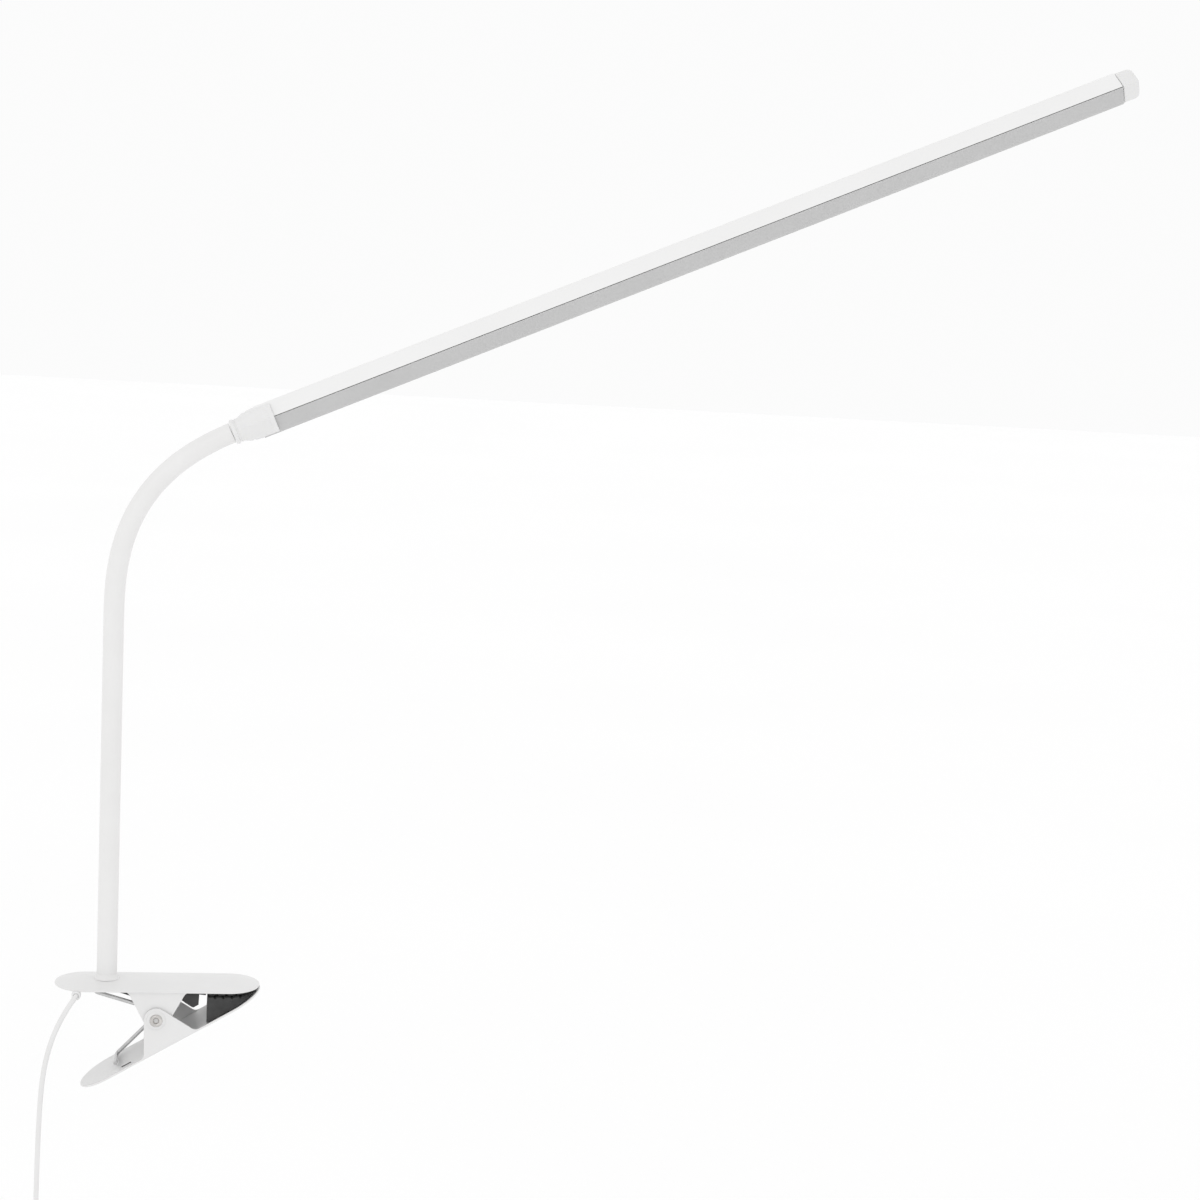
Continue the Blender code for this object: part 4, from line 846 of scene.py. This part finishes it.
def wedge_section(reach, groove):
    """Across the lower pad, upright when the clip is closed, with a slight hollow at its side."""
    cos, sin = math.cos(CLOSED_ANGLE), math.sin(CLOSED_ANGLE)
    depth = RIM_TO_PIVOT - PAD_PROUD - 1.2 * GAP - groove
    face_x = reach * cos + depth * sin
    face_z = min(reach * sin - depth * cos, pad_face(face_x) + groove)
    rim_x = (reach - RIM_TO_PIVOT * sin) / cos
    low, face = [], []
    half = max(pad_half_width(face_x), SHEET)
    for share in SHARES:
        y = max(pad_half_width(rim_x), SHEET) * share
        z = dome_at(rim_x, y) - 1.1 * SHEET - GAP
        low.append(((reach - z * sin) / cos, y, z))
        soft = 0.0005 * max(0.0, (abs(share) - 0.92) / 0.08)
        face.append((face_x, half * share, face_z + soft))
    near = [tuple(Vector(low[-1]).lerp(Vector(face[-1]), t)
                  - Vector((0, 0.0004 * math.sin(math.pi * t), 0))) for t in (0.2, 0.4, 0.6, 0.8)]
    return (low + near + list(reversed(face))
            + [(x, -y, z) for x, y, z in reversed(near)])


def pads():
    """Upper pad with its stop rib, and the wedge that fills the mouth when the clip is closed."""
    half = LOWER_EAR_Y - 2.5 * SHEET - GAP
    run = (STOP_CREST_DEPTH - STOP_REAR_DEPTH) / (STOP_CREST - STOP_REAR)
    rise = (STOP_FRONT_DEPTH - STOP_CREST_DEPTH) / (STOP_FRONT - STOP_CREST)
    rib = [(STOP_REAR, STOP_REAR_DEPTH - 0.0006), (STOP_REAR + 0.0005, STOP_REAR_DEPTH)]
    rib += [(STOP_REAR + (STOP_CREST - STOP_REAR) * t,
             STOP_REAR_DEPTH + run * (STOP_CREST - STOP_REAR) * t) for t in (0.5, 0.9)]
    rib += [(STOP_CREST, STOP_CREST_DEPTH - 0.00025), (STOP_CREST + 0.0006,
                                                     STOP_CREST_DEPTH - 0.0006),
            (PAD_REAR, STOP_CREST_DEPTH + rise * (PAD_REAR - STOP_CREST)),
            (PAD_REAR + 0.0002, PAD_PROUD)]
    sections = [pad_section(x, RIM_TO_PIVOT - depth, half) for x, depth in rib]
    for x, groove in pad_stations()[2:]:
        sections.append(pad_section(x, pad_face(x) + groove, max(pad_half_width(x), SHEET)))
    piece('upper_pad_rubber', skin(sections), 'black_rubber', 'clip_base', ('upper_pad',),
          place=UPPER, sharp=50)
    wedge = [wedge_section(x * math.cos(CLOSED_ANGLE) + RIM_TO_PIVOT * math.sin(CLOSED_ANGLE), g)
             for x, g in pad_stations()]
    piece('lower_pad_rubber', skin(wedge), 'black_rubber', 'lower_jaw', ('lower_pad',),
          place=LOWER, sharp=50)


def grommet():
    """White bush in the rim's notch."""
    bore, half = CORD_RADIUS + 0.0001, GROMMET_LENGTH / 2
    profile = [(bore, half), (GROMMET_RADIUS - 0.0002, half), (GROMMET_RADIUS, half - 0.0003),
               (GROMMET_RADIUS, 0.0004), (GROMMET_RADIUS - 0.0004, 0.0002),
               (GROMMET_RADIUS - 0.0004, -0.0004), (GROMMET_RADIUS, -0.0006),
               (GROMMET_RADIUS - 0.0001, -half + 0.0004), (GROMMET_RADIUS - 0.0006, -half),
               (bore, -half)]
    piece('cord_bush', turned(profile, 40, ring=True), 'white_plastic', 'clip_base',
          ('cord_grommet',), place=Matrix.Translation(CORD_EXIT) @ ALONG_Y, sharp=50)


def cover():
    """Black moulded cover under the handle, a wedge that deepens towards the ears. The wedge is
    shaped as the dark shadow between the handles, so it is partly painted shadow.
    """
    top = RIM_TO_PIVOT + 0.0008
    sections = []
    for k in range(17):
        t = k / 16
        x = -0.0348 + 0.0250 * t
        deep = 0.0010 + 0.0056 * (0.25 * t + 0.75 * t * t)
        wide = 0.0083 * (0.62 + 0.38 * math.sin(math.pi / 2 * min(1.0, t * 1.6)))
        sections.append([(x, y, top - deep / 2 + z)
                         for y, z in round_box(wide, deep / 2, min(0.0012, deep * 0.45), 5)])
    # partly painted shadow: the black wedge fills the shaded gap under the handle
    piece('cover_wedge_painted_shadow', skin(sections), 'black_plastic', 'clip_base', ('cable_cover',),
          place=UPPER, sharp=45)


def neck_foot():
    """White moulded foot ring that hides the stud's flange where the neck stands on the dome."""
    low = PLATE_TOP + 0.0001
    profile = [(0.00505, low), (0.0062, low), (0.0061, low + 0.0004), (0.0057, low + 0.0008),
               (0.0054, low + 0.0014), (0.0052, low + 0.0024), (0.00505, low + 0.0027)]
    piece('neck_foot_ring', turned(profile, 56, ring=True), 'white_sleeve', 'clip_base',
          place=UPPER @ Matrix.Translation((NECK_X, 0, 0)), sharp=60)


def painted_slot_shade():
    """Painted shade: a black strip standing for the dark of the short slot in the lower jaw's floor
    beside the spring's foot.
    """
    inside = dome_height(0.45) - SHEET
    path = [(x, 0.0081, inside - 0.00002) for x in (-0.0275, -0.0262, -0.0249, -0.0236, -0.0223)]
    # painted shade: a black strip where the slot's recess is dark
    piece('jaw_slot_painted_shade', sweep(path, 0.00040, 10), 'black_plastic', 'lower_jaw', place=LOWER)


jaw_shell('upper_shell', UPPER, 'clip_base', 'upper_jaw')
cover()
neck_foot()
painted_slot_shade()
jaw_ears('upper', UPPER, 'clip_base', UPPER_EAR_Y)
jaw_shell('lower_shell', LOWER, 'lower_jaw', 'lower_jaw')
jaw_ears('lower', LOWER, 'lower_jaw', LOWER_EAR_Y)
rivet()
springs()
pads()
grommet()


# ------------------------------------------------------------------ gooseneck

NECK_FOOT = PIVOT + Vector((NECK_X, 0, PLATE_TOP + STUD_FLANGE + 2 * GAP))
NECK_STEPS = 1180


def neck_heading(s):
    t = min(1.0, max(0.0, (s - NECK_UPRIGHT) / NECK_BEND))
    return NECK_LEAN - (NECK_LEAN - BAR_PITCH) * t * t * (3 - 2 * t)


def neck_table():
    """The centreline at NECK_STEPS equal steps: [(point, heading)]."""
    step = NECK_LENGTH / NECK_STEPS
    place, rows = NECK_FOOT.copy(), []
    for k in range(NECK_STEPS + 1):
        rows.append((place.copy(), neck_heading(k * step)))
        heading = neck_heading((k + 0.5) * step)
        place = place + Vector((math.cos(heading), 0, math.sin(heading))) * step
    return rows


NECK = neck_table()
SEGMENT = NECK_STEPS // NECK_JOINTS
RING_STEP, NECK_SIDES, BLEND_SHARE = 4, 40, 0.42
ACROSS = Vector((0, 1, 0))


def neck_sections(first, last):
    sections = []
    for index in (*range(first, last, RING_STEP), last):
        point, heading = NECK[index]
        out = Vector((-math.sin(heading), 0, math.cos(heading)))
        sections.append([point + NECK_RADIUS * (out * math.cos(a) + ACROSS * math.sin(a))
                         for a in (2 * math.pi * k / NECK_SIDES for k in range(NECK_SIDES))])
    return sections


def gooseneck():
    """One smooth sleeve, in lengths that each cover one joint's segment of the chain."""
    for k in range(NECK_JOINTS):
        replaced = [f'neck_sleeve_{k}'] + (['neck_sleeve_10'] if k == NECK_JOINTS - 1 else [])
        obj = piece(f'sleeve_{k}', skin(neck_sections(k * SEGMENT, (k + 1) * SEGMENT), caps=False),
                    'white_sleeve', None, replaced, sharp=60)
        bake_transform(obj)


gooseneck()


# ------------------------------------------------------------------ light bar

HEAD = Matrix.Translation(NECK[-1][0]) @ Matrix.Rotation(-BAR_PITCH, 4, 'Y')


def rounded(corners, radius, steps=10):
    points = [corners[0]]
    for before, corner, after in zip(corners, corners[1:], corners[2:]):
        a, b, c = Vector(before), Vector(corner), Vector(after)
        u, v = (a - b).normalized(), (c - b).normalized()
        cut = min(radius / math.tan(u.angle(v) / 2), (a - b).length * 0.9, (c - b).length * 0.45)
        first, last = b + u * cut, b + v * cut
        for k in range(steps + 1):
            t = k / steps
            points.append(tuple(first * (1 - t) ** 2 + b * 2 * t * (1 - t) + last * t ** 2))
    points.append(corners[-1])
    return points


def bar_half(height, flat_half, inset=0.0, seam=0.0):
    slant = math.hypot(BAR_CORNER - flat_half, height) / abs(height)
    end = height - math.copysign(inset, height)

    def half_at(z):
        return BAR_CORNER - (BAR_CORNER - flat_half) * z / height - slant * inset
    corners = [(-half_at(seam), seam), (-half_at(end), end), (half_at(end), end),
               (half_at(seam), seam)]
    return rounded(corners, BAR_ROUND - inset)


def spaced(points, count):
    lengths = [0.0]
    for a, b in zip(points, points[1:]):
        lengths.append(lengths[-1] + math.dist(a, b))
    result, index = [points[0]], 0
    for k in range(1, count):
        goal = lengths[-1] * k / count
        while lengths[index + 1] < goal:
            index += 1
        share = (goal - lengths[index]) / (lengths[index + 1] - lengths[index])
        a, b = points[index], points[index + 1]
        result.append((a[0] + (b[0] - a[0]) * share, a[1] + (b[1] - a[1]) * share))
    return result + [points[-1]]


def bar_outline(margin, count=44):
    top = bar_half(BAR_TOP, BAR_TOP_FLAT, -margin)
    low = bar_half(-BAR_BOTTOM, BAR_BOTTOM_FLAT, -margin)
    low = [top[0]] + low[1:-1] + [top[-1]]
    loop = spaced(top, count) + list(reversed(spaced(low, count)))[1:-1]
    return [(y, z + SEAM_LIFT) for y, z in loop]


def channel(name, height, flat_half, seam, look, node):
    """Housing or diffuser: a channel of even wall, open at the seam."""
    start, stop = COLLAR_LENGTH - BAR_IN_COLLAR, COLLAR_LENGTH + BAR_VISIBLE - GAP
    outer = bar_half(height, flat_half, 0.0, seam)
    inner = bar_half(height, flat_half, BAR_WALL, seam)
    outline = [(y, z + SEAM_LIFT) for y, z in outer + list(reversed(inner))]
    stations = [start + (stop - start) * k / 24 for k in range(25)]
    piece(name, skin([[(x, y, z) for y, z in outline] for x in stations]), look,
          'light_head', (node,), place=HEAD, sharp=28)


def collar():
    """Bell-shaped collar with a beaded neck, a soft shoulder and a lip at its rim."""
    def section(x, radius, blend, inset=0.0):
        out = []
        for y, z in bar_outline(COLLAR_MARGIN - inset):
            a = math.atan2(z, y)
            out.append((x, (1 - blend) * (radius - inset) * math.cos(a) + blend * y,
                        (1 - blend) * (radius - inset) * math.sin(a) + blend * z))
        return out
    ring = COLLAR_NECK_RADIUS
    body = (ring + BAR_CORNER) / 2
    outer = [section(0.0004, ring - 0.0004, 0.0), section(0.0005, ring + 0.0001, 0.0),
             section(0.0009, ring + 0.0004, 0.0), section(0.0015, ring + 0.0005, 0.0),
             section(0.0022, ring + 0.0003, 0.0), section(0.0026, ring - 0.0002, 0.0),
             section(0.0030, ring - 0.0002, 0.0), section(0.0034, ring + 0.0002, 0.0)]
    flare = [(0.0042, 0.02), (0.0050, 0.07), (0.0060, 0.17), (0.0070, 0.32), (0.0080, 0.50),
             (0.0090, 0.68), (0.0100, 0.83), (0.0110, 0.93), (0.0120, 0.985), (0.0130, 1.0)]
    for x, blend in flare:
        outer.append(section(x, ring + (body - ring) * min(1.0, blend * 2), blend))
    for x in (0.0160, 0.0190):
        outer.append(section(x, body, 1.0))
    lip = COLLAR_LENGTH - 0.0027
    outer += [section(lip - 0.0003, body, 1.0), section(lip, body, 1.0, 0.00022),
              section(lip + 0.0003, body, 1.0, 0.00012), section(COLLAR_LENGTH - 0.0006, body, 1.0),
              section(COLLAR_LENGTH - 0.0002, body, 1.0, 0.00012),
              section(COLLAR_LENGTH, body, 1.0, 0.0004)]
    inner = [section(COLLAR_LENGTH, body, 1.0, COLLAR_WALL - 0.0002),
             section(COLLAR_LENGTH - 0.0003, body, 1.0, COLLAR_WALL),
             section(0.0130, body, 1.0, COLLAR_WALL), section(0.0100, body, 0.80, COLLAR_WALL),
             section(0.0052, ring, 0.0, COLLAR_WALL), section(0.0004, ring, 0.0, COLLAR_WALL)]
    piece('collar_bell', skin(outer + inner, ring=True), 'white_plastic', 'light_head',
          ('collar',), place=HEAD, sharp=35)


def end_cap():
    """Cap with a rounded outer edge and a thin shadow step where it meets the bar."""
    start = COLLAR_LENGTH + BAR_VISIBLE
    stations = [(0.0, 0.0006), (0.0003, 0.0001), (0.0005, 0.0), (CAP_LENGTH - CAP_EDGE, 0.0)]
    stations += [(CAP_LENGTH - CAP_EDGE + CAP_EDGE * math.sin(a), CAP_EDGE * (1 - math.cos(a)))
                 for a in (math.pi / 2 * k / 10 for k in range(1, 11))]
    stations += [(CAP_LENGTH, CAP_EDGE * 1.6)]
    sections = []
    for along, inset in stations:
        share = 1 - inset / BAR_CORNER
        sections.append([(start + along, y * share, SEAM_LIFT + (z - SEAM_LIFT) * share)
                         for y, z in bar_outline(CAP_MARGIN)])
    piece('end_cap_shell', skin(sections), 'white_plastic', 'light_head', ('end_cap',),
          place=HEAD, sharp=35)


channel('housing_channel', BAR_TOP, BAR_TOP_FLAT, GAP / 2, 'housing_paint', 'bar_housing')
channel('diffuser_channel', -BAR_BOTTOM, BAR_BOTTOM_FLAT, -GAP / 2, 'frosted_diffuser',
        'diffuser')
collar()
end_cap()


# ------------------------------------------------------------------ light and floor

KEY_AT, KEY_TARGET, KEY_SIZE, KEY_POWER = (-0.9, -2.0, 1.3), (0.1, 0.0, 0.15), 1.6, 4.0
FLOOR_DROP, FLOOR_SIZE, FLOOR_GLOW, FLOOR_SHADE, WORLD_STRENGTH = 0.9, 60.0, 0.22, 0.78, 0.97


def key_light():
    data = bpy.data.lights.new('key', 'AREA')
    data.shape = 'RECTANGLE'
    data.size = data.size_y = KEY_SIZE
    data.energy = KEY_POWER
    light = bpy.data.objects.new('key', data)
    light.location = KEY_AT
    light.rotation_euler = (Vector(KEY_TARGET) - Vector(KEY_AT)).to_track_quat(
        '-Z', 'Y').to_euler()
    bpy.context.scene.collection.objects.link(light)


def floor():
    """A pale sheet well below the hanging cord, with an even glow and a faint unevenness."""
    mesh = bpy.data.meshes.new('floor')
    bm = bmesh.new()
    bmesh.ops.create_grid(bm, x_segments=1, y_segments=1, size=FLOOR_SIZE)
    bm.to_mesh(mesh)
    bm.free()
    sheet = bpy.data.objects.new('floor', mesh)
    sheet.location = (0.0, 0.0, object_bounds()[0][2] - FLOOR_DROP)
    bpy.context.scene.collection.objects.link(sheet)
    look = Surface('floor', 0.9)
    look.colour(look.noise(0.6, 2), grey(FLOOR_SHADE), grey(FLOOR_SHADE + 0.01))
    look.shader.inputs['Emission Color'].default_value = (1, 1, 1, 1)
    look.shader.inputs['Emission Strength'].default_value = FLOOR_GLOW
    sheet.data.materials.append(look.material)
    sheet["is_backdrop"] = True


def surroundings():
    """Soft even light from all round."""
    world = bpy.data.worlds.new('world')
    world.use_nodes = True
    world.node_tree.nodes['Background'].inputs['Color'].default_value = (1, 1, 1, 1)
    world.node_tree.nodes['Background'].inputs['Strength'].default_value = WORLD_STRENGTH
    bpy.context.scene.world = world
    bpy.context.scene.view_settings.view_transform = 'Standard'


floor()
surroundings()
key_light()
